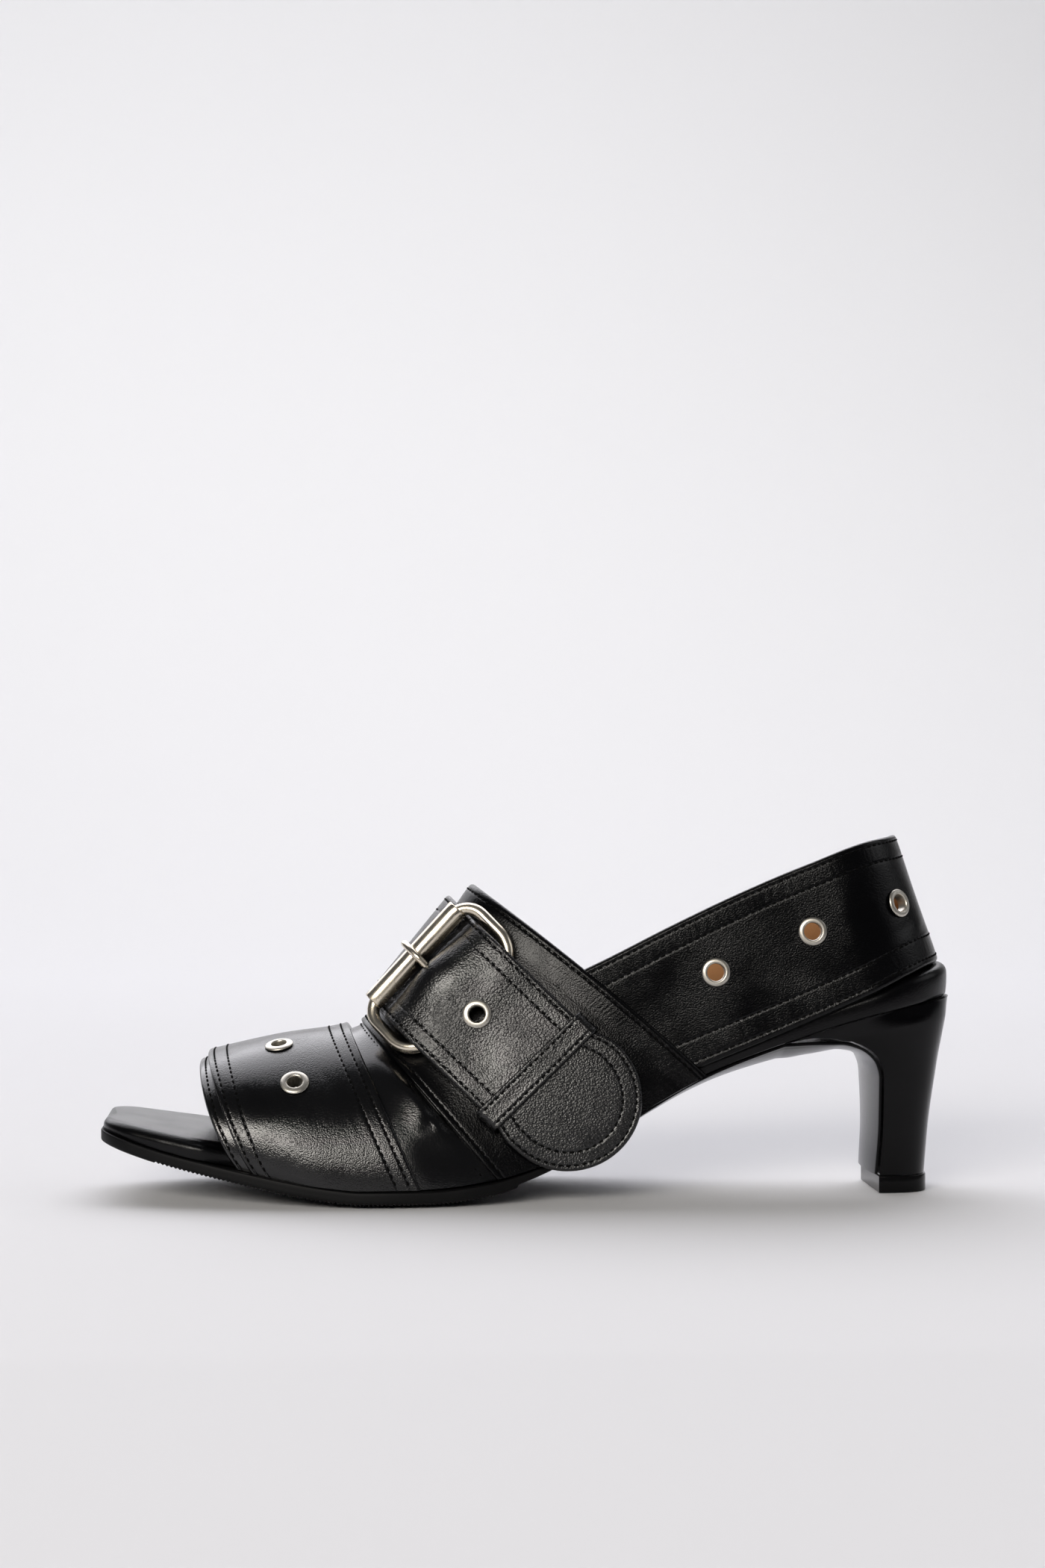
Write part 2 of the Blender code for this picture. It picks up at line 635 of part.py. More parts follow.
loft("keeper", [keeper_ring(a, b) for a, b in zip(keeper_loop(0.0), keeper_loop(KEEPER_THICK))], LEATHER, closed=True)

# Buckle: wire frame with the roller on its front bar, under it the strap, and the heel bar below the strap.
WIRE = 2.0
ROLLER_AT = 13.0
BAR_AT = 31.0
ROLLER_OUT = 3.0
ROLLER_BORE = WIRE + GAP
ROLLER_HALF = 17.6
roller_up = strap_lift(ROLLER_AT) + STRAP_THICK + GAP + ROLLER_OUT
bar_up = 1.0 + WIRE
FRAME_HALF = strap_half(BAR_AT) + 0.5 + WIRE
FRAME_CORNER = 4.5
CORNER_STEPS = 5


def frame_point(across, share):
    """Point of the frame's plane: share 0 on the roller's axis, 1 on the heel bar's axis."""
    front = strap_point(ROLLER_AT, across, roller_up)
    back = strap_point(BAR_AT, across, bar_up)
    return front.lerp(back, share)


frame_long = (frame_point(0, 1) - frame_point(0, 0)).length
frame_path = []
for turn in range(4):
    sign_q = (1, -1, -1, 1)[turn]
    far_end = turn in (0, 1)
    for i in range(CORNER_STEPS + 1):
        angle = math.radians(turn * 90 + 90 * i / CORNER_STEPS)
        q = sign_q * (FRAME_HALF - FRAME_CORNER) + FRAME_CORNER * math.cos(angle)
        s = (frame_long - FRAME_CORNER if far_end else FRAME_CORNER) + FRAME_CORNER * math.sin(angle)
        frame_path.append(frame_point(q, s / frame_long))


def wire(name, path, radius, closed, material, sides):
    """Round wire along a path of points: a curve with a round bevel."""
    curve = bpy.data.curves.new(name, "CURVE")
    curve.dimensions = "3D"
    curve.bevel_depth = radius * MM
    curve.bevel_resolution = sides
    curve.use_fill_caps = True
    spline = curve.splines.new("POLY")
    spline.points.add(len(path) - 1)
    for point, target in zip(spline.points, path):
        point.co = (*(Vector(target) * MM), 1.0)
    spline.use_cyclic_u = closed
    return place(name, curve, material, parts)


wire("buckle_frame", frame_path, WIRE, True, NICKEL, 3)

ROLLER_SIDES = 24
roller_ends = (frame_point(-ROLLER_HALF, 0), frame_point(ROLLER_HALF, 0))


def turned(name, profile, axis, origin, sides, material, collection=parts):
    """Closed profile of radius and height swung round an axis with a Screw."""
    mesh = bpy.data.meshes.new(name)
    mesh.from_pydata([(r * MM, 0.0, h * MM) for r, h in profile],
                     [(i, (i + 1) % len(profile)) for i in range(len(profile))], [])
    thing = place(name, mesh, material, collection)
    swing = thing.modifiers.new("turn", "SCREW")
    swing.axis = "Z"
    swing.steps = sides
    swing.render_steps = sides
    swing.use_merge_vertices = True
    swing.merge_threshold = 1e-6
    to_axis = axis.to_track_quat("Z", "Y").to_matrix().to_4x4()
    thing.matrix_world = Matrix.Translation((origin - CENTRE) * MM) @ to_axis
    return thing


roller_axis = (roller_ends[1] - roller_ends[0]).normalized()
turned("buckle_roller", [(ROLLER_OUT, ROLLER_HALF), (ROLLER_OUT, -ROLLER_HALF), (ROLLER_BORE, -ROLLER_HALF),
                         (ROLLER_BORE, ROLLER_HALF)], roller_axis, frame_point(0, 0), ROLLER_SIDES, NICKEL)

# Prong: from over the heel bar, up through its slot in the strap and over the roller.
PRONG = 1.3
ProngPoint = namedtuple("ProngPoint", "along above")
PRONG_PATH = (
    ProngPoint(BAR_AT - 3.8, bar_up + 0.5),
    ProngPoint(BAR_AT - 5.5, bar_up + 0.9),
    ProngPoint(22.8, 4.0),
    ProngPoint(20.6, 5.0),
    ProngPoint(18.8, 7.2),
    ProngPoint(16.9, roller_up + 3.2),
    ProngPoint(15.0, roller_up + 4.3),
    ProngPoint(13.2, roller_up + 4.7),
    ProngPoint(11.9, roller_up + 4.5),
)
wire("buckle_prong", [strap_point(p.along, 0.0, p.above) for p in PRONG_PATH], PRONG, False, NICKEL, 3)


def punch(name, origin, axis, radius, depth, sides, stretch=1.0, along=None):
    """Round cutter, stretched along a direction where a slot is wanted."""
    mesh = bpy.data.meshes.new(name)
    bm = bmesh.new()
    bmesh.ops.create_cone(bm, cap_ends=True, segments=sides, radius1=radius * MM, radius2=radius * MM, depth=depth * MM)
    bm.to_mesh(mesh)
    bm.free()
    thing = place(name, mesh, None, cutters)
    up = axis.normalized()
    side = (along - up * along.dot(up)).normalized() if along else up.orthogonal().normalized()
    turn = Matrix((side, up.cross(side), up)).transposed().to_4x4()
    thing.matrix_world = Matrix.Translation((origin - CENTRE) * MM) @ turn @ Matrix.Diagonal((stretch, 1, 1, 1))
    return thing


SLOT_AT = 19.3
slot_axis = strap_frame(SLOT_AT)[1]
slot_along = strap_point(SLOT_AT + 1, 0, 0) - strap_point(SLOT_AT - 1, 0, 0)
slot = punch("prong_slot", strap_point(SLOT_AT, 0, strap_lift(SLOT_AT) + 1.0), slot_axis, 2.5, 9.0, 20, 1.75, slot_along)
cut(strap, "DIFFERENCE", slot, "prong slot")

# Eyelets: turned rings with a domed flange outside and a barrel through the leather.
EYELET_OUT = 3.9
EYELET_BORE = 2.3
BARREL = 2.75
PUNCHED = BARREL + GAP
EYELET_SIDES = 12


def eyelet(name, face, axis, depth, seat):
    """One eyelet on an outer face, its barrel reaching down to the inner face."""
    profile = [(EYELET_BORE + 0.55, seat + 1.0), (EYELET_OUT - 0.35, seat + 0.75), (EYELET_OUT, seat + 0.15),
               (EYELET_OUT - 0.2, seat), (BARREL, seat), (BARREL, -depth), (EYELET_BORE, -depth),
               (EYELET_BORE, seat + 0.6)]
    turned(name, profile, axis, face, EYELET_SIDES, NICKEL)


upper_punches = bpy.data.collections.new("upper_punches")
cutters.children.link(upper_punches)


def punched_eyelet(name, face, axis, depth, seat):
    """Eyelet with its hole through the upper."""
    eyelet(name, face, axis, depth, seat)
    hole = punch(name + "_hole", face - axis * depth * 0.5, axis, PUNCHED, depth + 6.0, EYELET_SIDES)
    cutters.objects.unlink(hole)
    upper_punches.objects.link(hole)


BeltEyelet = namedtuple("BeltEyelet", "ahead up")
COUNTER_EYELETS = (BeltEyelet(0.312, 0.57), BeltEyelet(0.506, 0.56), BeltEyelet(0.812, 0.5))
number = 0
for spot in COUNTER_EYELETS:
    for place_round in (spot.ahead, 2.0 - spot.ahead):
        number += 1
        axis = counter_normal(place_round, spot.up)
        face = counter_point(place_round, spot.up) + axis * COUNTER_WALL
        punched_eyelet("eyelet_counter_%d" % number, face, axis, COUNTER_WALL, 0.35)
TOE_EYELETS = (-0.5, -0.2, 0.3, 0.58)
TOE_EYELET_RUN = 21.5
TOE_WALL = 4.0
for number, around in enumerate(TOE_EYELETS, 1):
    axis = last_normal(TOE_EYELET_RUN, around)
    face = last_point(TOE_EYELET_RUN, around) + axis * TOE_WALL
    punched_eyelet("eyelet_toe_%d" % number, face, axis, TOE_WALL, 0.3)
cut(upper, "DIFFERENCE", upper_punches, "eyelet holes")

STRAP_EYELET_AT = 35.2
strap_up = strap_lift(STRAP_EYELET_AT) + STRAP_THICK
strap_face = strap_point(STRAP_EYELET_AT, 0.0, strap_up)
ahead = (strap_point(STRAP_EYELET_AT + 1, 0, strap_lift(STRAP_EYELET_AT + 1))
         - strap_point(STRAP_EYELET_AT - 1, 0, strap_lift(STRAP_EYELET_AT - 1)))
aside = strap_point(STRAP_EYELET_AT, 1, strap_up) - strap_point(STRAP_EYELET_AT, -1, strap_up)
strap_axis = aside.cross(ahead).normalized()
if strap_axis.y > 0:
    strap_axis = -strap_axis
eyelet("eyelet_strap", strap_face, strap_axis, STRAP_THICK, 0.4)
strap_hole = punch("eyelet_strap_hole", strap_face - strap_axis, strap_axis, PUNCHED, 8.0, EYELET_SIDES)
cut(strap, "DIFFERENCE", strap_hole, "eyelet hole")
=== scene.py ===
"""Buckle sandal, left shoe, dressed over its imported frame: black leather bands, nickel buckle, covered heel.

Shapes are worked out in millimetres, toe to -X and outer side to -Y, and put in place in metres.
"""
import math

import bpy
import numpy as np
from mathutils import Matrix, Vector


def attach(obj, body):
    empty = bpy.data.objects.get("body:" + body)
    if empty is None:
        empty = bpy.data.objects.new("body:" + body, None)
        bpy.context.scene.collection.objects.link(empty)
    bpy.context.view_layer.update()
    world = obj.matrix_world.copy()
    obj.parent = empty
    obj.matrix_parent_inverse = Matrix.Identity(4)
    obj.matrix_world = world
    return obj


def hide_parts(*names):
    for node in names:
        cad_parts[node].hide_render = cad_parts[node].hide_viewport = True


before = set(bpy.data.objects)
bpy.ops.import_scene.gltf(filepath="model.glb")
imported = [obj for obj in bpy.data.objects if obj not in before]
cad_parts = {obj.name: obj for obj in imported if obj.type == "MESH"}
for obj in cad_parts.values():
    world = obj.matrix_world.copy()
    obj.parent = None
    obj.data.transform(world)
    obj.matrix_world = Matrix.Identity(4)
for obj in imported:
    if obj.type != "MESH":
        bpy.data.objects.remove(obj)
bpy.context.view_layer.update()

# Studio: a level camera on a low tripod, square to the shoe's outer side, and a sweep of pale paper.
# Soft boxes stand over the camera and behind the shoe, another lights the paper, a card fills the heel side.
MM = 0.001
PHOTO_TURN = math.radians(3.5)
lens = bpy.data.cameras.new("camera")
lens.lens = 72.5
lens.sensor_width = 36.0
camera = bpy.data.objects.new("camera", lens)
camera.location = (-0.0566, -0.8974, 0.1155)
camera.rotation_euler = (math.radians(90), 0.0, -PHOTO_TURN)
bpy.context.scene.collection.objects.link(camera)
bpy.context.scene.camera = camera
bpy.context.scene.view_settings.view_transform = "Standard"


def colour(code):
    """An sRGB hex colour as linear red, green, blue and alpha."""
    parts = [int(code[i:i + 2], 16) / 255 for i in (1, 3, 5)]
    return [c / 12.92 if c <= 0.04045 else ((c + 0.055) / 1.055) ** 2.4 for c in parts] + [1.0]


def node(tree, kind, settings, inputs):
    """Adds one shader node with its settings, and sets or links its inputs, by name or number."""
    made = tree.nodes.new("ShaderNode" + kind)
    for name, value in settings.items():
        setattr(made, name, value)
    for name, value in inputs.items():
        if isinstance(value, bpy.types.NodeSocket):
            tree.links.new(value, made.inputs[name])
        else:
            made.inputs[name].default_value = value
    return made


def surface(name):
    """A new material with only its output, and its node tree."""
    material = bpy.data.materials.new(name)
    material.use_nodes = True
    material.node_tree.nodes.clear()
    return material, material.node_tree


def finish(tree, inputs):
    """Adds the surface shader with these inputs and links it to the material's output."""
    shader = node(tree, "BsdfPrincipled", {}, inputs)
    node(tree, "OutputMaterial", {}, {"Surface": shader.outputs[0]})


SWEEP_DEPTH, SWEEP_MIDDLE = 9.0, -2.6
SWEEP_WALL, SWEEP_BEND = 3.0, 0.9
bpy.ops.object.select_all(action="DESELECT")
bpy.ops.mesh.primitive_plane_add(size=SWEEP_DEPTH, location=(0.0, SWEEP_MIDDLE, 0.0))
sweep = bpy.context.active_object
sweep.name = "paper_sweep"
bpy.ops.object.transform_apply(location=True, rotation=False, scale=False)
for edge in sweep.data.edges:
    edge.select = all(sweep.data.vertices[i].co.y > 1.0 for i in edge.vertices)
for vertex in sweep.data.vertices:
    vertex.select = vertex.co.y > 1.0
for face in sweep.data.polygons:
    face.select = False
bpy.ops.object.mode_set(mode="EDIT")
bpy.ops.mesh.select_mode(type="EDGE")
bpy.ops.mesh.extrude_region_move(TRANSFORM_OT_translate={"value": (0.0, 0.0, SWEEP_WALL)})
bpy.ops.object.mode_set(mode="OBJECT")
for edge in sweep.data.edges:
    ends = [sweep.data.vertices[i].co for i in edge.vertices]
    edge.select = all(c.y > 1.0 and c.z < 0.1 for c in ends)
bpy.ops.object.mode_set(mode="EDIT")
bpy.ops.mesh.bevel(offset=SWEEP_BEND, segments=24, affect="EDGES")
bpy.ops.object.mode_set(mode="OBJECT")
bpy.ops.object.shade_smooth()
# Uncoated paper from the roll: matt, so the eye sees only soft steps of grey.
paper, tree = surface("matt_paper")
finish(tree, {"Base Color": colour("#dbdbdd"), "Roughness": 0.85})
sweep.data.materials.append(paper)
# A black sheet lies before the shoe and shows only in mirror images: painted dark reflection, so that the
# leather stays deep black.
SHEET_FROM, SHEET_UP = -0.26, 0.001
bpy.ops.mesh.primitive_plane_add(size=SWEEP_DEPTH, location=(0.0, SHEET_FROM - SWEEP_DEPTH / 2, SHEET_UP))
reflection_sheet = bpy.context.active_object
reflection_sheet.name = "painted_dark_reflection_sheet"
bpy.ops.object.transform_apply(location=True, rotation=False, scale=False)
# Painted dark reflection: near black and fully rough, so it has no highlight at all.
shade_black, tree = surface("painted_reflection_black")
finish(tree, {"Base Color": colour("#050505"), "Roughness": 1.0, "IOR": 1.1})
reflection_sheet.data.materials.append(shade_black)
reflection_sheet.visible_camera = reflection_sheet.visible_diffuse = reflection_sheet.visible_shadow = False

# Each light: name, place, aim, size, watts, beam in degrees and tint.
LIGHTS = (
    ("front_soft_box", (-0.95, -2.35, 1.02), (0.0, 0.0, 0.05), (1.85, 0.8), 13.6, 80.0, "#fffaf2"),
    ("rear_soft_box", (-0.15, 1.20, 1.65), (0.0, -0.5, 0.0), (3.0, 2.2), 33.0, 130.0, "#fbfaff"),
    ("backdrop_soft_box", (-0.9, 0.1, 2.3), (-0.5, 1.8, 0.9), (3.0, 1.0), 11.8, 60.0, "#fdfdff"),
    ("side_card", (1.5, -0.1, 0.9), (0.1, 0.0, 0.07), (1.0, 0.9), 2.4, 180.0, "#fdfdff"),
)
for name, place, aim, size, watts, beam, tint in LIGHTS:
    lamp = bpy.data.lights.new(name, "AREA")
    lamp.shape = "RECTANGLE"
    lamp.size, lamp.size_y = size
    lamp.energy = watts
    lamp.color = colour(tint)[:3]
    lamp.spread = math.radians(beam)
    light = bpy.data.objects.new(name, lamp)
    light.location = place
    light.rotation_euler = (Vector(aim) - Vector(place)).to_track_quat("-Z", "Y").to_euler()
    light.visible_camera = False
    bpy.context.scene.collection.objects.link(light)
room = bpy.data.worlds.new("studio")
bpy.context.scene.world = room
room.use_nodes = True
room.node_tree.nodes.clear()
air = node(room.node_tree, "Background", {}, {"Color": colour("#e4e6ea"), "Strength": 0.09})
node(room.node_tree, "OutputWorld", {}, {"Surface": air.outputs[0]})

# Outsole: one moulded piece of black rubber, ribbed across under the forefoot and glued on under the footbed.
# Its waist is rounded and polished, and its last stretch is a thin flap that turns down the heel's breast.
CENTRE = np.array((1.7, -0.88, 0.0))
GAP = 0.3


def curve(xs, ys):
    """Smooth curve through points, with no overshoot between them, that runs on straight past its ends."""
    xs, ys = np.array(xs, float), np.array(ys, float)
    steps = np.diff(xs)
    rises = np.diff(ys) / steps
    slopes = np.concatenate([rises[:1], np.zeros(len(rises) - 1), rises[-1:]])
    before, after = 2 * steps[1:] + steps[:-1], steps[1:] + 2 * steps[:-1]
    for i in np.nonzero(rises[:-1] * rises[1:] > 0)[0]:
        slopes[i + 1] = (before[i] + after[i]) / (before[i] / rises[i] + after[i] / rises[i + 1])

    def at(x):
        x = np.asarray(x, float)
        i = np.clip(np.searchsorted(xs, x, side="right") - 1, 0, len(steps) - 1)
        s = np.clip((x - xs[i]) / steps[i], 0.0, 1.0)
        lift = steps[i] * (slopes[i] * s * (1 - s) ** 2 - slopes[i + 1] * s * s * (1 - s))
        inside = ys[i] + (ys[i + 1] - ys[i]) * s * s * (3 - 2 * s) + lift
        return inside + np.minimum(x - xs[0], 0) * slopes[0] + np.maximum(x - xs[-1], 0) * slopes[-1]

    return at


def lengths_along(points):
    """Distance of each point from the first, along the line of points."""
    return np.concatenate([[0.0], np.cumsum(np.linalg.norm(np.diff(points, axis=0), axis=1))])


CREASE_ANGLE = math.radians(48)


def skin(name, points, material_of_column=None):
    """Mesh on a grid of points: a grid primitive put in place and joined where it meets itself."""
    rows, columns = points.shape[:2]
    bpy.ops.object.select_all(action="DESELECT")
    bpy.ops.mesh.primitive_grid_add(x_subdivisions=columns - 1, y_subdivisions=rows - 1, size=1.0)
    piece = bpy.context.active_object
    piece.name = name
    mesh = piece.data
    mesh.name = name
    mesh.vertices.foreach_set("co", ((points - CENTRE) * MM).reshape(-1).astype(np.float32))
    if material_of_column is not None:
        of_face = np.tile(material_of_column[:columns - 1], rows - 1)
        mesh.polygons.foreach_set("material_index", of_face.astype(np.int32))
    mesh.update()
    bpy.ops.object.mode_set(mode="EDIT")
    bpy.ops.mesh.select_all(action="SELECT")
    bpy.ops.mesh.remove_doubles(threshold=2e-6)
    bpy.ops.mesh.fill_holes(sides=0)
    bpy.ops.mesh.normals_make_consistent(inside=False)
    bpy.ops.object.mode_set(mode="OBJECT")
    bpy.ops.object.shade_smooth_by_angle(angle=CREASE_ANGLE)
    return piece


def settle(piece, materials, slot, *nodes):
    """Gives a piece its materials and place on the shoe, and hides the solids it stands for. Its slot is not
    used.
    """
    for material in materials:
        piece.data.materials.append(material)
    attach(piece, "root")
    if nodes:
        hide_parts(*nodes)


FEATHER_X = (-118.4, -103, -79.5, -66, -54, -46, -28, -12, 0, 10, 20, 34, 45, 55, 65, 75, 86, 103, 121.5)
FEATHER_Z = (20.0, 15.4, 10.2, 7.5, 5.6, 4.9, 4.9, 6.4, 9.3, 13.3, 18.4, 26.5, 32.5, 37.0, 40.8, 44.2, 47.8,
             52.3, 55.9)
feather = curve(FEATHER_X, FEATHER_Z)
SOLE_X = (-109.4, -100, -80, -60, -40, -20, 0, 20, 40, 60, 72)
sole_outer = curve(SOLE_X, (26.0, 30.0, 36.2, 40.2, 41.8, 39.8, 34.6, 29.6, 26.0, 24.2, 23.6))
sole_inner = curve(SOLE_X, (29.0, 33.0, 38.4, 40.0, 38.4, 35.2, 31.4, 28.4, 26.0, 24.6, 24.0))
WALL_X = (-118.4, -100, -62, -20, -3.6, -3.0, 20, 34, 55, 72)
sole_edge = curve(WALL_X, (3.2, 3.3, 3.6, 3.6, 3.1, 2.3, 1.7, 1.2, 0.8, 0.8))
sole_belly = curve(WALL_X, (0.5, 0.8, 1.0, 1.0, 0.9, 0.9, 2.2, 3.1, 3.8, 5.0))
sole_flat = curve(WALL_X, (0.62, 0.62, 0.62, 0.62, 0.6, 0.6, 0.2, 0.0, 0.0, 0.0))
TOE_X, TOE_CORNER = -118.4, 9.0
SIDE_FROM, STEP_AT, FLAP_FROM = -109.4, -3.3, 72.0
RIB_PITCH, RIB_DEPTH = 1.2, 0.42
RIB_FROM, RIB_TO = -103.0, -10.0
TREAD_FLAT, FLAP_EDGE = 0.62, 0.8

FLAP_X = (72, 74, 81, 88, 93.4, 96.8, 99.2, 100.3, 100.5, 99.7)
FLAP_Z = (42.9, 43.0, 43.3, 43.3, 42.0, 39.9, 36.9, 32.8, 20.0, 5.3)
FLAP_TURN = (0, 0, 4, 12, 30, 50, 70, 86, 90, 92)
FLAP_BELLY = (5.0, 5.0, 4.2, 2.9, 2.0, 1.4, 1.1, 0.9, 0.8, 0.8)
FLAP_HALF = (23.7, 23.6, 23.4, 22.9, 21.8, 20.6, 19.4, 18.2, 15.9, 14.3)
flap_at = lengths_along(np.stack([FLAP_X, FLAP_Z], -1))
flap_x, flap_z, flap_turn, flap_belly, flap_half = (
    curve(flap_at, values) for values in (FLAP_X, FLAP_Z, FLAP_TURN, FLAP_BELLY, FLAP_HALF))


def sole_station(place):
    """Middle, turn, half widths, edge, belly and flat share along the sole and on down the flap."""
    past = np.maximum(place - FLAP_FROM, 0.0)
    on_flap = place > FLAP_FROM
    x = np.where(on_flap, flap_x(past), place)
    z = np.where(on_flap, flap_z(past), feather(place) - GAP)
    turn = np.radians(np.where(on_flap, flap_turn(past), 0.0))
    outer = np.where(on_flap, flap_half(past), sole_outer(place))
    inner = np.where(on_flap, flap_half(past), sole_inner(place))
    belly = np.where(on_flap, flap_belly(past), sole_belly(place))
    edge = np.where(on_flap, FLAP_EDGE, sole_edge(place))
    return x, z, turn, outer, inner, edge, belly, np.where(on_flap, 0.0, np.maximum(sole_flat(place), 0.0))


def toe_front(nose, outer, inner):
    """Front of an outline, from its outer to its inner side: two rounded corners and a straight nose."""
    corner = np.radians(np.linspace(0, 90, 13))[1:]
    corner_x = nose + TOE_CORNER * (1 - np.sin(corner))
    inset = TOE_CORNER * (1 - np.cos(corner))
    front_y = np.linspace(TOE_CORNER - outer(nose), inner(nose) - TOE_CORNER, 24)[1:-1]
    x = np.concatenate([corner_x, np.full(len(front_y), nose), corner_x[::-1]])
    return x, np.concatenate([inset - outer(corner_x), front_y, (inner(corner_x) - inset)[::-1]])


def round_toe(side_values, toe_values):
    """Values down the outer side, round the toe and back along the inner side."""
    return np.concatenate([side_values[::-1], toe_values, side_values])


side = np.concatenate([np.linspace(SIDE_FROM, RIB_FROM, 9)[:-1], np.arange(RIB_FROM, RIB_TO, RIB_PITCH / 4),
                       np.linspace(RIB_TO, STEP_AT - 0.4, 8), STEP_AT + np.array((-0.2, 0.0, 0.2)),
                       np.linspace(STEP_AT + 0.4, FLAP_FROM, 60),
                       FLAP_FROM + np.linspace(0.5, flap_at[-1], 70)])
x, z, turn, outer, inner, edge, belly, flat = sole_station(side)
toe_x, toe_y = toe_front(TOE_X, sole_outer, sole_inner)
fan = len(toe_x)
path_x = round_toe(x, toe_x)
path_y = np.concatenate([-outer[::-1], toe_y, inner])
path_z = round_toe(z, feather(toe_x) - GAP)
middle_x = round_toe(x, np.full(fan, side[0]))
middle_z = round_toe(z, np.full(fan, feather(side[0]) - GAP))
path_turn = round_toe(turn, np.zeros(fan))
path_edge = round_toe(edge, sole_edge(toe_x))
path_belly = round_toe(belly, sole_belly(toe_x))
path_flat = round_toe(flat, np.full(fan, TREAD_FLAT))
tooth = 1 - np.abs(2 * (((side - RIB_FROM) / RIB_PITCH) % 1.0) - 1)
tooth = np.where((side > RIB_FROM) & (side < RIB_TO), tooth, 0.0)
path_rib = round_toe(tooth, np.zeros(fan)) * RIB_DEPTH
reach = np.hypot(path_x - middle_x, path_y)
round_top = np.minimum(0.45, 0.35 * path_edge)
round_low = np.minimum(0.7, 0.35 * path_edge)
quarter = np.radians((0, 30, 60, 90))
# Each column: share of the way in to the middle, depth under the top face, and how far the ribs cut into it.
columns = [(share, 0.0 * reach, 0.0) for share in (1.0, 0.8, 0.6, 0.4, 0.25, 0.12)]
columns += [(round_top * (1 - np.sin(a)) / reach, round_top * (1 - np.cos(a)), 0.0) for a in quarter]
columns += [(0.0, round_top + (path_edge - round_top - round_low) * share, 0.0) for share in (0.3, 0.7)]
columns += [(round_low * (1 - np.cos(a)) / reach, path_edge - round_low * (1 - np.sin(a)), np.sin(a))
            for a in quarter]
for share in (0.05, 0.1, 0.16, 0.24, 0.34, 0.46, 0.6, 0.8, 1.0):
    beyond = np.maximum(0.0, 1 - share - path_flat) / (1 - path_flat)
    columns.append((share, path_edge + path_belly * (1 - beyond * beyond), 1.0))
points = np.zeros((len(path_x), len(columns), 3))
toe = slice(len(x), len(x) + fan)
for j, (share, depth, rib) in enumerate(columns):
    depth = depth - rib * path_rib
    points[:, j, 0] = path_x + (middle_x - path_x) * share - depth * np.sin(path_turn)
    points[:, j, 1] = path_y * (1 - share)
    points[:, j, 2] = path_z + (middle_z - path_z) * share - depth * np.cos(path_turn)
    points[toe, j, 2] = feather(points[toe, j, 0]) - GAP - depth[toe]
tread_sole = skin("tread_sole", points)


def noise(tree, spot, size_mm, detail=2.0):
    """Noise in the shoe's own space, with lumps of about that size."""
    inputs = {"Vector": spot.outputs["Object"], "Scale": 1 / (size_mm * MM), "Detail": detail}
    return node(tree, "TexNoise", {}, inputs)


def ranged(tree, value, low, high, to_low, to_high):
    """Stretches a value from one range to another."""
    return node(tree, "MapRange", {}, {"Value": value.outputs[0], "From Min": low, "From Max": high,
                                       "To Min": to_low, "To Max": to_high})


def two_tone(tree, share, first, second):
    """Mixes two colours."""
    inputs = {"Fac": share.outputs[0], "Color1": colour(first), "Color2": colour(second)}
    return node(tree, "MixRGB", {}, inputs)


# Moulded rubber is matt at the tread and its edge; behind the tread the waist was buffed and lacquered.
rubber, tree = surface("moulded_black_rubber")
spot = node(tree, "TexCoord", {}, {})
along = node(tree, "SeparateXYZ", {}, {0: spot.outputs["Object"]})
polish = ranged(tree, along, 0.0, 0.022, 0.5, 0.16)
polish.interpolation_type = "SMOOTHSTEP"
grit = noise(tree, spot, 1.1, 3.0)
rough = ranged(tree, grit, 0.0, 1.0, -0.06, 0.06)
rough = node(tree, "Math", {"operation": "ADD"}, {0: polish.outputs[0], 1: rough.outputs[0]})
bump = node(tree, "Bump", {}, {"Height": grit.outputs[0], "Strength": 0.12, "Distance": 0.1 * MM})
shade = two_tone(tree, grit, "#070708", "#0c0c0d")
finish(tree, {"Base Color": shade.outputs[0], "Roughness": rough.outputs[0], "Normal": bump.outputs[0],
              "IOR": 1.22})
settle(tread_sole, [rubber], "sole_rubber", "outsole")

# Footbed: a board and a foam pad wrapped in smooth black leather, with a leather sock glued on its top.
# Its rim shows round the open toe and round the heel; between them the bands of the upper go down beside it.
PAD_X = (-108, -100, -90, -82, -70, -54, -30, -9.5, 18.5, 46, 75, 95)
pad_outer = curve(PAD_X, (25.2, 28.8, 31.8, 30.2, 32.6, 35.0, 35.6, 32.0, 27.6, 25.6, 25.2, 25.0))
pad_inner = curve(PAD_X, (28.2, 31.7, 34.6, 32.2, 33.4, 34.2, 31.6, 28.0, 25.8, 25.0, 25.0, 25.0))
PAD_WALL_X = (-117, -110, -100, -86, 20, 60, 96, 107, 121.7)
pad_thick = curve(PAD_WALL_X, (3.2, 4.3, 5.2, 5.8, 6.0, 6.0, 6.8, 8.5, 9.7))
pad_round = curve(PAD_WALL_X, (2.7, 3.2, 3.3, 3.0, 2.6, 2.4, 2.6, 2.8, 3.2))
PAD_NOSE = -117.6
HEEL_TURN, HEEL_END, HEEL_FULL, HEEL_HALF = 95.0, 121.0, 2.3, 25.0
side = np.concatenate([np.linspace(-108, -80, 40), np.linspace(-78, 90, 70), [HEEL_TURN]])
back = np.radians(np.linspace(0, 90, 30))[1:]
back_x = HEEL_TURN + (HEEL_END - HEEL_TURN) * np.sin(back) ** (2 / HEEL_FULL)
back_y = HEEL_HALF * np.maximum(0.0, np.cos(back)) ** (2 / HEEL_FULL)
toe_x, toe_y = toe_front(PAD_NOSE, pad_outer, pad_inner)
path_x = round_toe(np.concatenate([side, back_x]), toe_x)
path_y = np.concatenate([-back_y[::-1], -pad_outer(side[::-1]), toe_y, pad_inner(side), back_y])
middle_x = round_toe(np.concatenate([side, np.full(len(back), HEEL_TURN)]), np.full(len(toe_x), side[0]))
reach = np.hypot(path_x - middle_x, path_y)
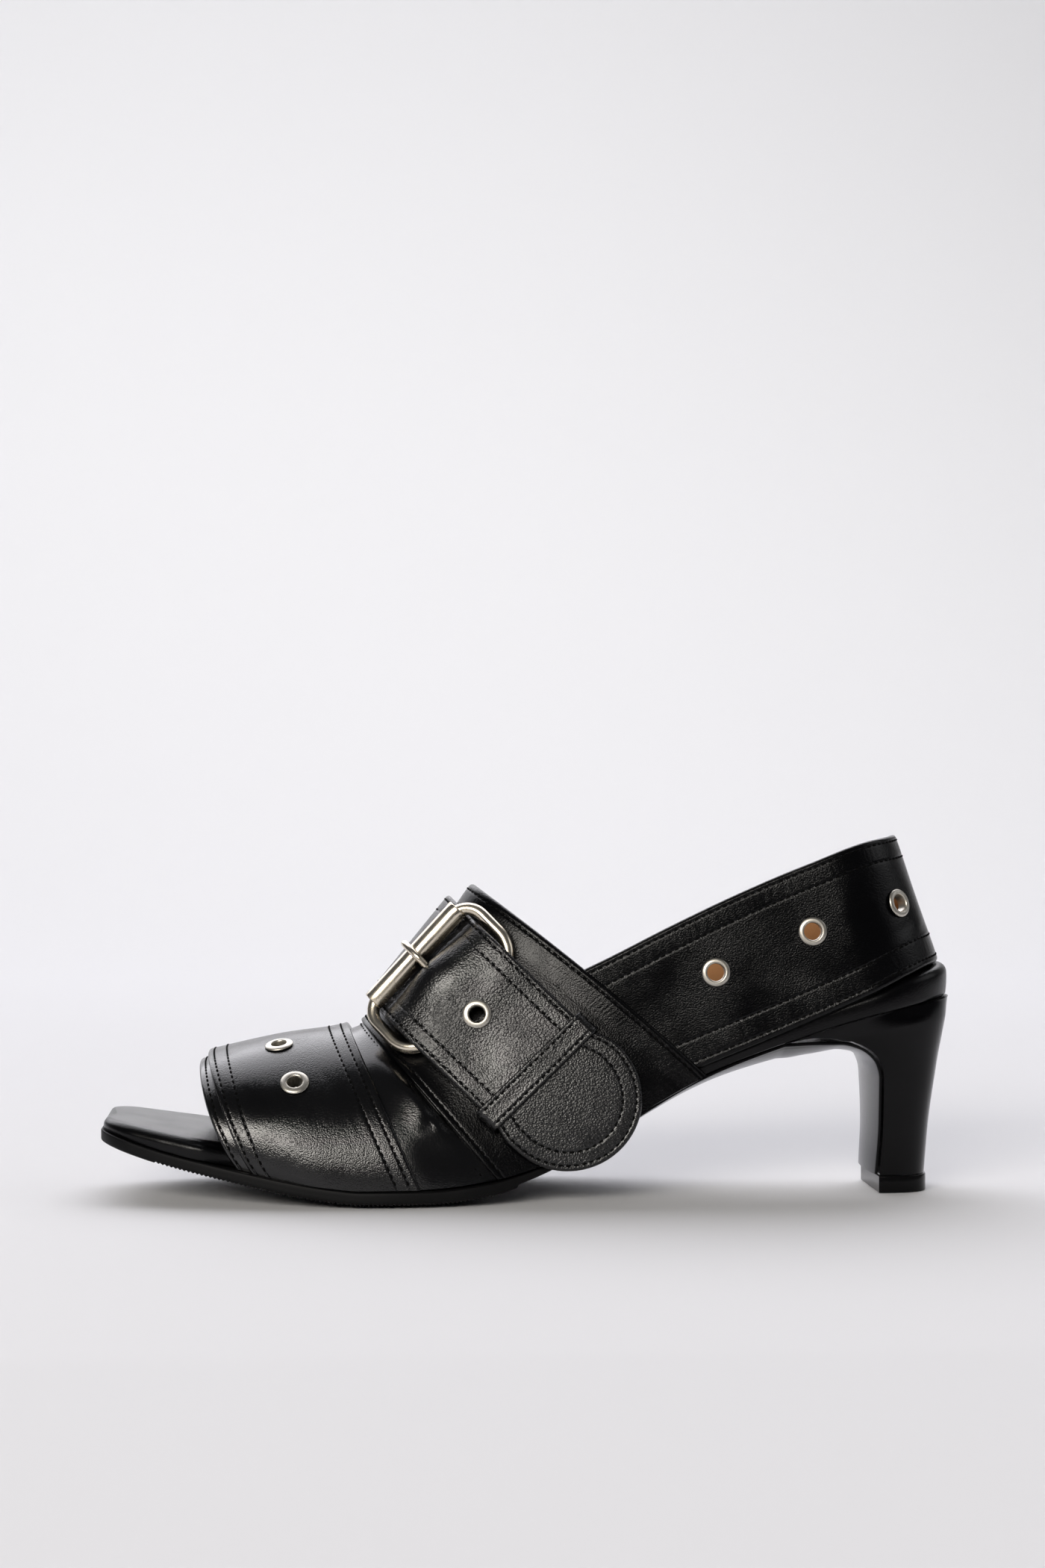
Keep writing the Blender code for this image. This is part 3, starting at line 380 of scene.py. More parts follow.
radius = pad_round(path_x)
# Each column: inset from the side, then how much of the rim's rounding and of the wall below it lies above.
columns = [(radius * (1 - share) + reach * share, 0.0, 0.0) for share in (1.0, 0.78, 0.56, 0.36, 0.2, 0.08)]
columns += [(radius * (1 - np.sin(a)), 1 - np.cos(a), 0.0)
            for a in np.radians((0, 12, 22, 32, 41, 50, 58, 66, 74, 82, 90))]
columns += [(0.0, 1.0, share) for share in (0.25, 0.5, 0.75, 0.92)]
columns += [(inset, 1.0, 1.0) for inset in (0.5, 4.0, reach)]
points = np.zeros((len(path_x), len(columns), 3))
for j, (inset, rounded, walled) in enumerate(columns):
    share = np.minimum(1.0, inset / reach)
    px = path_x + (middle_x - path_x) * share
    thick = pad_thick(px)
    fall = radius * rounded + (thick - radius) * walled
    bulge = 0.35 * np.sin(np.clip(fall / thick, 0, 1) * np.pi) if j > 6 else 0.0
    points[:, j, 0] = px + (path_x - middle_x) / reach * bulge
    points[:, j, 1] = path_y * (1 - share) + path_y / reach * bulge
    fold = 0.55 * np.exp(-((path_x + 86.0) / 7.0) ** 2) * np.exp(-((fall - 1.1) / 0.55) ** 2)
    points[:, j, 1] -= np.sign(path_y) * fold
    points[:, j, 2] = feather(px) + thick - fall - 0.3 * fold
sock = np.concatenate([np.ones(6), np.zeros(len(columns) - 7)])
footbed = skin("footbed", points, sock)


def leather(name, grain_mm, relief, roughness, black, worn, ior, drawn=1.0):
    """Finished leather: pressed pebbles with pores between, waxed; drawn pores are long across the shoe."""
    material, tree = surface(name)
    spot = node(tree, "TexCoord", {}, {})
    drift = noise(tree, spot, 2.5 * grain_mm)
    drift = node(tree, "VectorMath", {"operation": "SCALE"},
                 {0: drift.outputs["Color"], "Scale": 0.8 * grain_mm * MM})
    bent = node(tree, "VectorMath", {"operation": "ADD"}, {0: spot.outputs["Object"], 1: drift.outputs[0]})
    pebble = node(tree, "TexVoronoi", {"feature": "F1"},
                  {"Vector": bent.outputs[0], "Scale": 1 / (grain_mm * MM)})
    pull = node(tree, "Mapping", {}, {"Vector": spot.outputs["Object"], "Scale": (1.0, 1 / drawn, 1 / drawn)})
    fine = node(tree, "TexNoise", {}, {"Vector": pull.outputs[0], "Detail": 2.0,
                                       "Scale": 1 / ((0.35 + 0.1 * drawn) * grain_mm * MM)})
    patch = noise(tree, spot, 14.0)
    height = node(tree, "Math", {"operation": "MULTIPLY_ADD"},
                  {0: fine.outputs[0], 1: -0.5 - 0.1 * drawn, 2: pebble.outputs[0]})
    depth = ranged(tree, patch, 0.35, 0.65, 0.55 * relief, 1.15 * relief)
    bump = node(tree, "Bump", {"invert": True}, {"Height": height.outputs[0], "Strength": depth.outputs[0],
                                                 "Distance": 0.28 * grain_mm * MM})
    shade = two_tone(tree, patch, black, worn)
    gloss = ranged(tree, patch, 0.3, 0.7, roughness - 0.025, roughness + 0.025)
    finish(tree, {"Base Color": shade.outputs[0], "Roughness": gloss.outputs[0], "Normal": bump.outputs[0],
                  "IOR": ior})
    return material


# Calf dyed in the drum and left matt for the rim, and a sock pressed smooth that mirrors the pale backdrop.
footbed_leather = leather("matt_black_calf", 0.42, 0.3, 0.25, "#020203", "#040405", 1.3)
sock_leather = leather("black_sock_leather", 0.42, 0.2, 0.23, "#030304", "#060607", 1.52)
settle(footbed, [footbed_leather, sock_leather], "smooth_leather", "insole")

# Heel: a plastic block wrapped in smooth black leather, screwed on through the seat, with a concave breast.
# The cover is drawn tight round the sides and its edge shows as a fine ridge beside the flap of the sole.
RING_FRONT_X = (72.0, 88.0, 93.8, 97.2, 99.6, 100.7, 100.9, 100.1)
RING_FRONT_Z = (42.8, 43.8, 42.4, 40.3, 37.3, 33.0, 20.0, 5.2)
RING_REAR_X = (121.1, 120.4, 119.7, 119.1, 118.4, 117.5, 115.7, 114.6)
RING_REAR_Z = (55.6, 50.5, 46.5, 43.0, 39.0, 33.0, 19.5, 5.2)
RING_HALF = (24.8, 23.8, 22.6, 21.4, 20.2, 18.9, 16.6, 15.0)
RING_SQUARE = (3.6, 3.5, 3.4, 3.3, 3.2, 3.2, 3.2, 3.2)
ring_at = np.arange(len(RING_HALF), dtype=float)
ring_curves = [curve(ring_at, column) for column in
               (RING_FRONT_X, RING_FRONT_Z, RING_REAR_X, RING_REAR_Z, RING_HALF, RING_SQUARE)]
HEEL_SIDES = 64


def heel_outline(front_x, rear_x, half, square):
    """D-shaped outline, flat at the breast and round at the back: x, y and the share from breast to back."""
    angle = np.pi * (np.linspace(0, 1, HEEL_SIDES) - 0.5)
    along = np.clip(np.cos(angle), 0, 1) ** (2 / square)
    aside = np.sign(angle) * np.abs(np.sin(angle)) ** (2 / square)
    flat = np.linspace(0.96, -0.96, 14)
    along = np.concatenate([along, 0.0 * flat, along[:1]])
    aside = np.concatenate([aside, flat, aside[:1]])
    return front_x + (rear_x - front_x) * along, half * aside, along


places = np.concatenate([np.linspace(0, 1, 16)[:-1], np.linspace(1, 5, 44)[:-1], np.linspace(5, 7, 26)])
points = []
for place in places:
    front_x, front_z, rear_x, rear_z, half, square = (float(c(place)) for c in ring_curves)
    hx, hy, share = heel_outline(front_x, rear_x, half, square)
    hz = front_z + (rear_z - front_z) * share
    if place < 1.0:
        hz = (feather(hx) - GAP) * (1 - place) + hz * place
    points.append(np.stack([hx, hy, hz], -1))
covered_heel = skin("covered_heel", np.array(points))
# Smooth calf, burnished where it is drawn tight over the block: deep black with narrow clear highlights.
smooth_leather = leather("smooth_black_calf", 0.36, 0.1, 0.17, "#020203", "#040405", 1.28)
settle(covered_heel, [smooth_leather], "smooth_leather", "heel")

# Heel tip: a moulded rubber top piece, a hair wider than the heel, pinned up into its foot.
# Its upper and lower edges are rounded, and it stands flat on the floor.
TIP_FRONT, TIP_REAR, TIP_HALF, TIP_SQUARE = 99.9, 115.1, 15.2, 3.2
TIP_ROWS = ((4.9, 5.0), (4.9, 0.6), (4.9, 0.3), (4.75, 0.08), (4.5, 0.0), (2.5, 0.0), (0.35, 0.0),
            (0.12, 0.1), (0.0, 0.4), (0.0, 2.0), (0.0, 5.0))
points = []
for height, inset in TIP_ROWS:
    hx, hy, share = heel_outline(TIP_FRONT + inset, TIP_REAR - inset, TIP_HALF - inset, TIP_SQUARE)
    points.append(np.stack([hx, hy, np.full_like(hx, height)], -1))
heel_tip = skin("heel_tip", np.array(points))
settle(heel_tip, [rubber], "sole_rubber", "top_piece")

# Vamp: the under layer of the front, one piece of leather lasted over the forefoot, black on its inside too.
# It shows as a lip ahead of the toe band and as a panel behind it, and ends under the instep band.
GIRTH_RUN = (0.0, 3.2, 22.0, 41.5, 46.5, 72.0, 98.0)
girth = {
    "ridge_x": curve(GIRTH_RUN, (-91.1, -88.2, -67.6, -48.5, -44.2, -28.3, -11.9)),
    "ridge_z": curve(GIRTH_RUN, (35.2, 36.0, 40.7, 43.7, 45.8, 65.2, 85.4)),
    "ridge_y": curve(GIRTH_RUN, (3.0, 3.0, 3.0, 3.0, 3.0, 2.0, 1.0)),
    "base_x": curve(GIRTH_RUN, (-80.4, -75.5, -54.0, -30.2, -9.5, 18.5, 49.5)),
    "outer": curve(GIRTH_RUN, (31.2, 31.9, 36.0, 36.6, 33.0, 28.6, 26.4)),
    "inner": curve(GIRTH_RUN, (33.2, 33.6, 35.2, 32.6, 29.0, 26.8, 25.8)),
    "full": curve(GIRTH_RUN, (2.55, 2.5, 2.15, 2.05, 2.1, 2.2, 2.3)),
    "bow": curve(GIRTH_RUN, (1.4, 1.2, 0.6, 0.0, 0.0, 0.0, -1.6)),
}
BAND_FRONT, BAND_REAR, SEAM_RUN, VAMP_END, STRAP_RUN, COLLAR_RUN = 3.2, 41.5, 46.5, 49.0, 72.0, 98.0
VAMP_TOP, VAMP_ROWS = 2.0, (1.9,)


def last_point(run, around):
    """Point of the last on a girth: around is -1 at the outer base, 0 on the ridge, 1 at the inner base."""
    run, around = np.broadcast_arrays(np.asarray(run, float), np.asarray(around, float))
    angle = np.minimum(np.abs(around), 1.0) * np.pi / 2
    power = 2 / girth["full"](run)
    rise = np.clip(np.cos(angle), 0.0, 1.0) ** power
    spread = np.sin(angle) ** power
    base_x, ridge_y = girth["base_x"](run), girth["ridge_y"](run)
    width = np.where(around > 0, girth["inner"](run) - ridge_y, -girth["outer"](run) - ridge_y)
    x = base_x + (girth["ridge_x"](run) - base_x) * rise - girth["bow"](run) * 4 * rise * (1 - rise)
    z = feather(base_x) + (girth["ridge_z"](run) - feather(base_x)) * rise
    return np.stack([x, ridge_y + width * spread, z], -1)


def unit(vectors):
    """Directions of length one."""
    return vectors / np.maximum(np.linalg.norm(vectors, axis=-1, keepdims=True), 1e-9)


def last_normal(run, around):
    """Outward direction of the last there."""
    run, around = np.broadcast_arrays(np.asarray(run, float), np.asarray(around, float))
    here = np.clip(around, -0.985, 0.985)
    ahead = last_point(run + 0.4, here) - last_point(run - 0.4, here)
    aside = last_point(run, here + 0.012) - last_point(run, here - 0.012)
    normal = unit(np.cross(ahead, aside))
    normal[..., 2] = np.maximum(normal[..., 2], 0.0)
    return unit(normal)


def on_last(run, around, above):
    """Point that far above the last."""
    return last_point(run, around) + last_normal(run, around) * np.asarray(above)[..., None]


EDGE_ZONE = 9.0


def band_runs(start, end, around, marks):
    """Runs and insets of marks across a band, from its first or last edge or by share, and its widths."""
    runs = np.linspace(start, end, 60)
    out = np.zeros((len(around), len(marks)))
    inset, width = np.zeros_like(out), np.zeros(len(around))
    for i, line in enumerate(last_point(runs[None, :], around[:, None])):
        length = lengths_along(line)
        width[i] = length[-1]
        squeeze = min(1.0, width[i] / (2 * EDGE_ZONE + 0.5))
        for j, (kind, value) in enumerate(marks):
            if kind == "first":
                inset[i, j] = value * squeeze
            elif kind == "last":
                inset[i, j] = width[i] - value * squeeze
            else:
                inset[i, j] = EDGE_ZONE * squeeze + (width[i] - 2 * EDGE_ZONE * squeeze) * value
        out[i] = np.interp(inset[i], length, runs)
    return out, inset, width


def edge_marks(rim, rows):
    """Distances from an edge where the leather's face needs points: its rim and the groove of each row."""
    marks = {round(rim * (1 - math.cos(math.radians(a))), 4) for a in (0, 25, 45, 65, 90)} | {rim + 0.3}
    for row in rows:
        marks |= {round(row + step, 4) for step in (-0.75, -0.45, -0.2, 0.0, 0.2, 0.45, 0.75)}
    marks |= {m for m in (3.6, 4.4, 7.6, 8.3) if all(abs(m - row) > 0.8 for row in rows)}
    return sorted(m for m in marks if m < EDGE_ZONE)


GROOVE = 0.16


def face_height(distance, rim, rows):
    """How far the leather's face falls there: a rounded rim, and a groove at each row of stitches."""
    inside = np.clip(rim - distance, 0.0, rim)
    fall = rim - np.sqrt(np.maximum(rim * rim - inside * inside, 0.0))
    for row in rows:
        fall = fall + GROOVE * np.exp(-((distance - row) / 0.3) ** 2)
    return fall


def band(name, start, end, under, top, stations, first_rim, first_rows, last_rim, last_rows, relief):
    """Leather band over the last, from one edge to the other, lined on its inside."""
    marks = [("first", m) for m in edge_marks(first_rim, first_rows)]
    marks += [("share", s) for s in np.linspace(0, 1, 22)]
    marks += [("last", m) for m in reversed(edge_marks(last_rim, last_rows))]
    runs, inset, width = band_runs(start, end, stations, marks)
    around, width = stations[:, None], width[:, None]
    height = top - face_height(inset, first_rim, first_rows) - face_height(width - inset, last_rim, last_rows)
    outer = on_last(runs, around, height + relief(runs, around, inset, width))
    under_runs = end + (start - end) * np.concatenate([[0.0], np.linspace(0.03, 0.97, 12), [1.0]])
    inner = on_last(under_runs, around, under(under_runs))
    points = np.concatenate([outer, inner, outer[:, :1]], axis=1)
    lined = np.concatenate([np.zeros(outer.shape[1]), np.ones(len(under_runs) - 1), [0]])
    return skin(name, points, lined)


def swell(value, centre, width):
    """Soft hump of height one."""
    return np.exp(-((value - centre) / width) ** 2)


ARCH = np.linspace(-1, 1, 300)


def vamp_relief(run, around, inset, width):
    """Soft hollow and ridge of the open panel behind the toe band, where the leather bends with the foot."""
    open_panel = np.clip((run - BAND_REAR) / (SEAM_RUN - BAND_REAR), 0, 1)
    bulge = 2.4 * np.sin(np.pi * open_panel ** 1.9) * swell(around, -0.63, 0.2)
    aside = around + 0.76
    crease = swell(open_panel, 0.62 + 1.4 * aside, 0.05) + 0.35 * swell(open_panel, 0.8 + 1.2 * aside, 0.07)
    return bulge - 0.3 * crease * swell(aside, 0.0, 0.1)


under_vamp = band("under_vamp", 0.0, VAMP_END, lambda run: 0.0 * run, VAMP_TOP, ARCH,
                  0.9, VAMP_ROWS, 0.3, (), vamp_relief)
# Leather waxed and brushed by hand: its grain is flattened and its highlights are wide and bright.
vamp_leather = leather("waxed_black_leather", 0.4, 0.3, 0.17, "#030304", "#060607", 1.58)
settle(under_vamp, [vamp_leather, footbed_leather], "grained_leather", "upper")

# Toe band: a wide strip of leather laid over the vamp and sewn down with two rows along each edge.
# Its edges are turned and rounded, and its front edge stands a little clear of the vamp near the top.
BAND_UNDER = 2.06
TOE_TOP, TOE_FIRST, TOE_LAST = 4.0, (1.8, 5.4), (2.5, 6.1)


def toe_relief(run, around, inset, width):
    """Lift of the front edge, and the faint drag of the leather towards the sole."""
    lift = 1.5 * np.exp(-inset / 2.4) * swell(around, -0.42, 0.24)
    lift = lift + 0.5 * np.exp(-(width - inset) / 2.0) * swell(around, -0.2, 0.3)
    drag = 0.04 * np.sin(run * 1.9 + 2.0 * np.sin(around * 7)) * swell(np.abs(around), 0.72, 0.1)
    drag = drag * np.clip((run - 24) / 12, 0, 1) * np.clip((inset - 8) / 4, 0, 1)
    return lift + drag


toe_band = band("toe_band", BAND_FRONT, BAND_REAR, lambda run: 0.0 * run + BAND_UNDER, TOE_TOP, ARCH,
                0.75, TOE_FIRST, 0.8, TOE_LAST, toe_relief)
# Leather drawn hard over the last: its pores are pulled long across the shoe and glint in short streaks.
drawn_leather = leather("drawn_black_leather", 0.4, 0.5, 0.2, "#030304", "#060607", 1.5, 6.0)
settle(toe_band, [drawn_leather, footbed_leather], "grained_leather", "upper")

# Instep band: a wide lined band over the instep, laid on the vamp's rear edge and turned over at the collar.
# One row of stitches holds each edge, and the turned collar puckers between its stitches.
INSTEP_TOP, INSTEP_ROWS = 3.2, (2.0,)


def instep_relief(run, around, inset, width):
    """Puckers of the turned collar edge, and slow waves of the band between its edges."""
    back = width - inset
    pucker = np.sin(around * 540 + 2.6 * np.sin(around * 23)) * (0.5 + 0.5 * np.sin(around * 31))
    wave = np.sin(around * 9 + run * 0.12) * np.clip(back / 12, 0, 1) * np.clip(inset / 10, 0, 1)
    return 0.035 * pucker * swell(back, 5.2, 1.3) + 0.15 * wave - 0.35 * swell(back, 7.5, 3.0)


CLOSE_ARCH = np.concatenate([np.linspace(-1, 0.1, 420)[:-1], np.linspace(0.1, 1, 160)])
instep_band = band("instep_band", SEAM_RUN, COLLAR_RUN,
                   lambda run: BAND_UNDER * np.clip(VAMP_END + 1 - run, 0, 1), INSTEP_TOP, CLOSE_ARCH,
                   0.55, INSTEP_ROWS, 1.25, INSTEP_ROWS, instep_relief)
# Cow leather pressed with a fine pebble grain and waxed: black, with small sparkles on the pebbles.
grained_leather = leather("grained_black_leather", 0.45, 0.46, 0.2, "#020203", "#040405", 1.3)
# Undyed pigskin with hardly any finish: matt tan, with faint pores.
lining = leather("tan_pigskin_lining", 0.8, 0.2, 0.55, "#b98a5f", "#a87b52", 1.4)
settle(instep_band, [grained_leather, lining], "grained_leather", "upper")

# Heel counter: a stiff belt of leather round the heel, lined in tan and sewn down inside the instep band.
# Two rows run along its upper edge and two along its lower edge; it leans in at the top to hold the heel.
low_z = curve((18, 49, 77.5, 96.5, 107, 113, 119), (25.0, 37.3, 48.9, 57.2, 62.1, 64.1, 64.9))
low_half = curve((18, 49, 77.5, 96.5), (26.4, 25.9, 25.7, 25.4))
TOP_X = (2, 21.5, 40.6, 60, 77.5, 96.5, 106.7)
top_z = curve(TOP_X, (57.6, 66.7, 76.3, 85.4, 92.7, 99.4, 100.8))
top_half = curve(TOP_X, (23.6, 23.2, 22.9, 22.6, 22.4, 22.4, 22.4))
inner_drop = curve((0.95, 0.98, 1.02, 1.1, 1.2, 1.4, 2.0), (0.0, 0.2, 1.1, 3.2, 4.6, 5.2, 5.6))
inner_tuck = curve((1.0, 1.1, 1.2, 1.3, 1.42, 1.6, 1.8, 2.0), (0.0, 0.3, 0.55, 0.75, 2.2, 2.6, 2.6, 2.0))
COUNTER_LOW, COUNTER_TOP = (18.0, 94.0, 117.0), (2.0, 82.0, 104.6)
COUNTER_WALL, COUNTER_FULL, COUNTER_RIM = 2.2, 2.1, 1.0
SIDE_SHARE, HALF_BELT = 9 / 16, 150.0


def counter_edge(front, turn, end, half, height, round_heel):
    """Edge of the belt: 0 at the outer front end, 1 at the back, 2 at the inner front end."""
    side = np.where(round_heel < 1.0, -1.0, 1.0)
    ahead = 1.0 - np.abs(round_heel - 1.0)
    angle = np.clip((ahead - SIDE_SHARE) / (1 - SIDE_SHARE), 0, 1) * np.pi / 2
    straight = front + (turn - front) * ahead / SIDE_SHARE
    bend = turn + (end - turn) * np.sin(angle) ** (2 / COUNTER_FULL)
    x = np.where(ahead <= SIDE_SHARE, straight, bend)
    share = np.where(ahead <= SIDE_SHARE, 1.0, np.clip(np.cos(angle), 0, 1) ** (2 / COUNTER_FULL))
    y = side * half(np.minimum(x, turn)) * share
    return np.stack([x, y, height(x)], -1)


def counter_point(round_heel, up):
    """Point of the belt's inner face: up is 0 at its lower edge and 1 at its upper edge."""
    round_heel, up = np.broadcast_arrays(np.asarray(round_heel, float), np.asarray(up, float))
    low = counter_edge(*COUNTER_LOW, low_half, low_z, round_heel)
    top = counter_edge(*COUNTER_TOP, top_half, top_z, round_heel)
    top[..., 2] -= np.where(round_heel > 0.95, inner_drop(round_heel), 0.0)
    low[..., 2] -= np.where(round_heel > 1.0, inner_tuck(round_heel), 0.0)
    return low + (top - low) * up[..., None]


def counter_normal(round_heel, up):
    """Outward direction of the belt."""
    round_heel, up = np.asarray(round_heel, float), np.asarray(up, float)
    ahead = counter_point(round_heel + 0.01, up) - counter_point(round_heel - 0.01, up)
    rise = counter_point(round_heel, 1.0 + 0.0 * up) - counter_point(round_heel, 0.0 * up)
    return unit(np.cross(ahead, rise))


COUNTER_TOP_ROWS, COUNTER_LOW_ROWS = (1.6, 6.5), (2.0, 8.0)
BELT = np.concatenate([np.linspace(0, 0.55, 130)[:-1], np.linspace(0.55, 1.45, 160)[:-1],
                       np.linspace(1.45, 2, 130)])
low_marks = edge_marks(COUNTER_RIM, COUNTER_LOW_ROWS)
top_marks = edge_marks(COUNTER_RIM, COUNTER_TOP_ROWS)
belt_high = np.linalg.norm(counter_point(BELT, 1.0) - counter_point(BELT, 0.0), axis=-1)
heights = [np.full_like(belt_high, m) for m in low_marks]
heights += [EDGE_ZONE + (belt_high - 2 * EDGE_ZONE) * share for share in np.linspace(0, 1, 16)]
heights += [belt_high - m for m in reversed(top_marks)]
heights = np.stack(heights, -1)
from_top = belt_high[:, None] - heights
ups = heights / belt_high[:, None]
rounds = BELT[:, None]
length = rounds * HALF_BELT
proud = COUNTER_WALL - face_height(heights, COUNTER_RIM, COUNTER_LOW_ROWS)
proud -= face_height(from_top, COUNTER_RIM, COUNTER_TOP_ROWS)
proud += 0.04 * np.sin(length * 2.6 + 2.5 * np.sin(length * 0.31)) * swell(from_top, 4.0, 1.5)
proud += 0.03 * np.sin(length * 2.1 + 2.7 * np.sin(length * 0.23)) * swell(heights, 5.0, 1.9)
proud += 0.18 * np.sin(length * 0.16) * np.clip((heights - 8) / 8, 0, 1) * np.clip((from_top - 8) / 8, 0, 1)
# Each crease: place round the heel, height, lean and depth.
for place, high, lean, deep in ((0.80, 0.36, 0.35, 0.22), (0.74, 0.30, 0.25, 0.16), (0.86, 0.27, 0.5, 0.2)):
    proud -= deep * swell(rounds, place, 0.05) * swell(ups, high + lean * (rounds - place), 0.022)
outer = counter_point(rounds, ups) + counter_normal(rounds, ups) * proud[..., None]
# The lining's lower edge is turned in over the footbed's rim, so that no light comes through beside it.
LINING_IN, LINING_DOWN = 1.8, 1.3
inner_up = np.append(np.linspace(1, 0.06, 12), 0.0)
inner = counter_point(rounds, inner_up[None, :])
tucked = np.clip((np.minimum(BELT, 2 - BELT) - 0.1) / 0.2, 0, 1)[:, None]
inner[:, -1] -= tucked * (LINING_IN * counter_normal(BELT, 0.0 * BELT) + (0.0, 0.0, LINING_DOWN))
points = np.concatenate([outer, inner, outer[:, :1]], axis=1)
lined = np.concatenate([np.zeros(outer.shape[1]), np.ones(len(inner_up) - 1), [0]])
heel_counter = skin("heel_counter", points, lined)
settle(heel_counter, [grained_leather, lining], "grained_leather", "upper")

# Buckle strap: doubled leather, from the inner edge of the sole over the instep and under the roller.
# It ends in a round tip that hangs free on the outer side, and two rows of stitches follow its outline.
STRAP_THICK, STRAP_END, STRAP_HALF = 2.3, 86.4, 18.5
TIP_RADIUS, TIP_LEAN, TIP_FROM = 20.2, 0.02, 58.0
ROLLER_AT, SKEW = 13.0, 0.037
girth_around = np.linspace(1, -1, 1201)
girth_points = last_point(STRAP_RUN, girth_around)
girth_length = lengths_along(girth_points)
girth_length -= girth_length[len(girth_length) // 2]
base, ridge = last_point(STRAP_RUN, -1.0), last_point(STRAP_RUN, 0.0)
rise_dir = unit((ridge - base) * (1, 0, 1))
width_dir = np.array((rise_dir[2], 0.0, -rise_dir[0]))
girth_normal = last_normal(STRAP_RUN, girth_around)
girth_flat = unit(girth_normal - (girth_normal @ width_dir)[:, None] * width_dir)
girth_slope = -(girth_normal @ width_dir) / np.sum(girth_normal * girth_flat, axis=1)
strap_lift = curve((-90, -40, -12, 4, 13, 15.2, 16, 16.8, 17.8, 19, 20.5, 22.3, 24.3, 26.5, 31, 40, 48, 90),
                   (1.0, 0.9, 0.8, 0.8, 0.8, 0.95, 1.3, 2.1, 3.15, 4.15, 5.0, 5.6, 5.85, 5.8, 5.2, 3.5,
                    3.1, 3.0))
strap_half = curve((-95, 8, 56, 65, 96), (STRAP_HALF, 18.4, 18.1, TIP_RADIUS, TIP_RADIUS))


def along_line(place, length, rows):
    """Point or direction at a distance along a line of them."""
    return np.stack([np.interp(place, length, rows[:, k]) for k in range(3)], -1)


def strap_point(along, across, above):
    """Point over the instep band: along the strap from the ridge, across it to the heel side, and above."""
    along, across, above = np.broadcast_arrays(*(np.asarray(a, float) for a in (along, across, above)))
    past = np.maximum(0.0, np.maximum(along - girth_length[-1], girth_length[0] - along))
    held = np.clip(along, girth_length[0], girth_length[-1])
    slope = np.interp(held, girth_length, girth_slope)
    hang = np.where(along[..., None] > 0, (0, -TIP_LEAN, 0), (0, TIP_LEAN, 0)) - rise_dir
    point = along_line(held, girth_length, girth_points) + hang * past[..., None]
    flat = unit(along_line(held, girth_length, girth_flat))
    return point + across[..., None] * width_dir + flat * (INSTEP_TOP + above + slope * across)[..., None]


def strap_lay(along, across, above):
    """Point of the strap itself, which is drawn a little round towards the heel past the roller."""
    along = np.asarray(along, float)
    skew = SKEW * np.maximum(0.0, along - ROLLER_AT) + 0.5 * np.clip((along - TIP_FROM) / 8, 0, 1)
    return strap_point(along, across + skew, above)


def sole_end(across):
    """Where the strap's inner end meets the feather line, at a place across it."""
    low, high = girth_length[0] - 14.0, -30.0
    for _ in range(30):
        along = (low + high) / 2
        point = strap_point(along, across, 0.0)
        low, high = (along, high) if point[2] < feather(point[0]) + GAP else (low, along)
    return high


def ease(value):
    """Smooth step from 0 to 1."""
    value = np.clip(value, 0, 1)
    return value * value * (3 - 2 * value)


def hump(along, across):
    """How far the prong props the strap up in its middle, just past the roller."""
    return 2.5 * ease((along - 14.8) / 3.4) * (1 - ease((along - 18.5) / 13.5)) * swell(across, 0.0, 9.5)


STRAP_RIM, STRAP_ROWS = 0.9, (1.6, 5.3)
tip_centre = STRAP_END - TIP_RADIUS
straight = np.concatenate([np.linspace(0, 1, 100)[:-1] - 1.0, np.linspace(0, tip_centre, 130)])
tip_turn = np.radians(np.linspace(0, 180, 90))[1:-1]
strap_marks = edge_marks(STRAP_RIM, STRAP_ROWS)
inner_shares = np.linspace(0, 1, 9)
section = [(m, 0.0, 1) for m in strap_marks] + [(EDGE_ZONE, s, 1) for s in inner_shares]
under_section = [(0.5, 0.0, 0), (3.0, 0.0, 0)] + [(EDGE_ZONE, s, 0) for s in inner_shares[::2]]
section = section[::-1] + [(0.0, 0.0, 0)] + under_section


def strap_relief(along, across, inset):
    """Soft ripples where the strap bends over the heel bar, and a shallow dip between bar and keeper."""
    ripple = 0.06 * np.sin(along * 0.5 + across * 0.16) * swell(along, 24.0, 6.0)
    return ripple * np.clip(inset / 4, 0, 1) - 0.3 * swell(along, 44.0, 6.0) * swell(across, -6.0, 8.0)


points = np.zeros((2 * len(straight) + len(tip_turn), len(section), 3))
for j, (mark, share, face) in enumerate(section):
    half = strap_half(straight)
    inset = mark + (half - mark) * share
    tip_inset = mark + (TIP_RADIUS - mark) * share
    sides = [np.where(straight < 0, -sole_end(sign * (half - inset)[0]) * straight, straight)
             for sign in (-1, 1)]
    tip_along = tip_centre + (TIP_RADIUS - tip_inset) * np.sin(tip_turn)
    along = np.concatenate([sides[0], tip_along, sides[1][::-1]])
    across = np.concatenate([inset - half, (tip_inset - TIP_RADIUS) * np.cos(tip_turn), (half - inset)[::-1]])
    inset = np.concatenate([inset, np.full_like(tip_turn, tip_inset), inset[::-1]])
    above = strap_lift(along) + hump(along, across)
    if face:
        above = above + STRAP_THICK - face_height(inset, STRAP_RIM, STRAP_ROWS)
        above = above + strap_relief(along, across, inset)
    points[:, j] = strap_lay(along, across, above)
instep_strap = skin("instep_strap", points)
# Leather pressed with a coarser grain: raised pebbles that each catch the light.
strap_leather = leather("pebbled_black_leather", 0.58, 0.72, 0.26, "#030304", "#060607", 1.55)
settle(instep_strap, [strap_leather], "grained_leather", "buckle_strap")

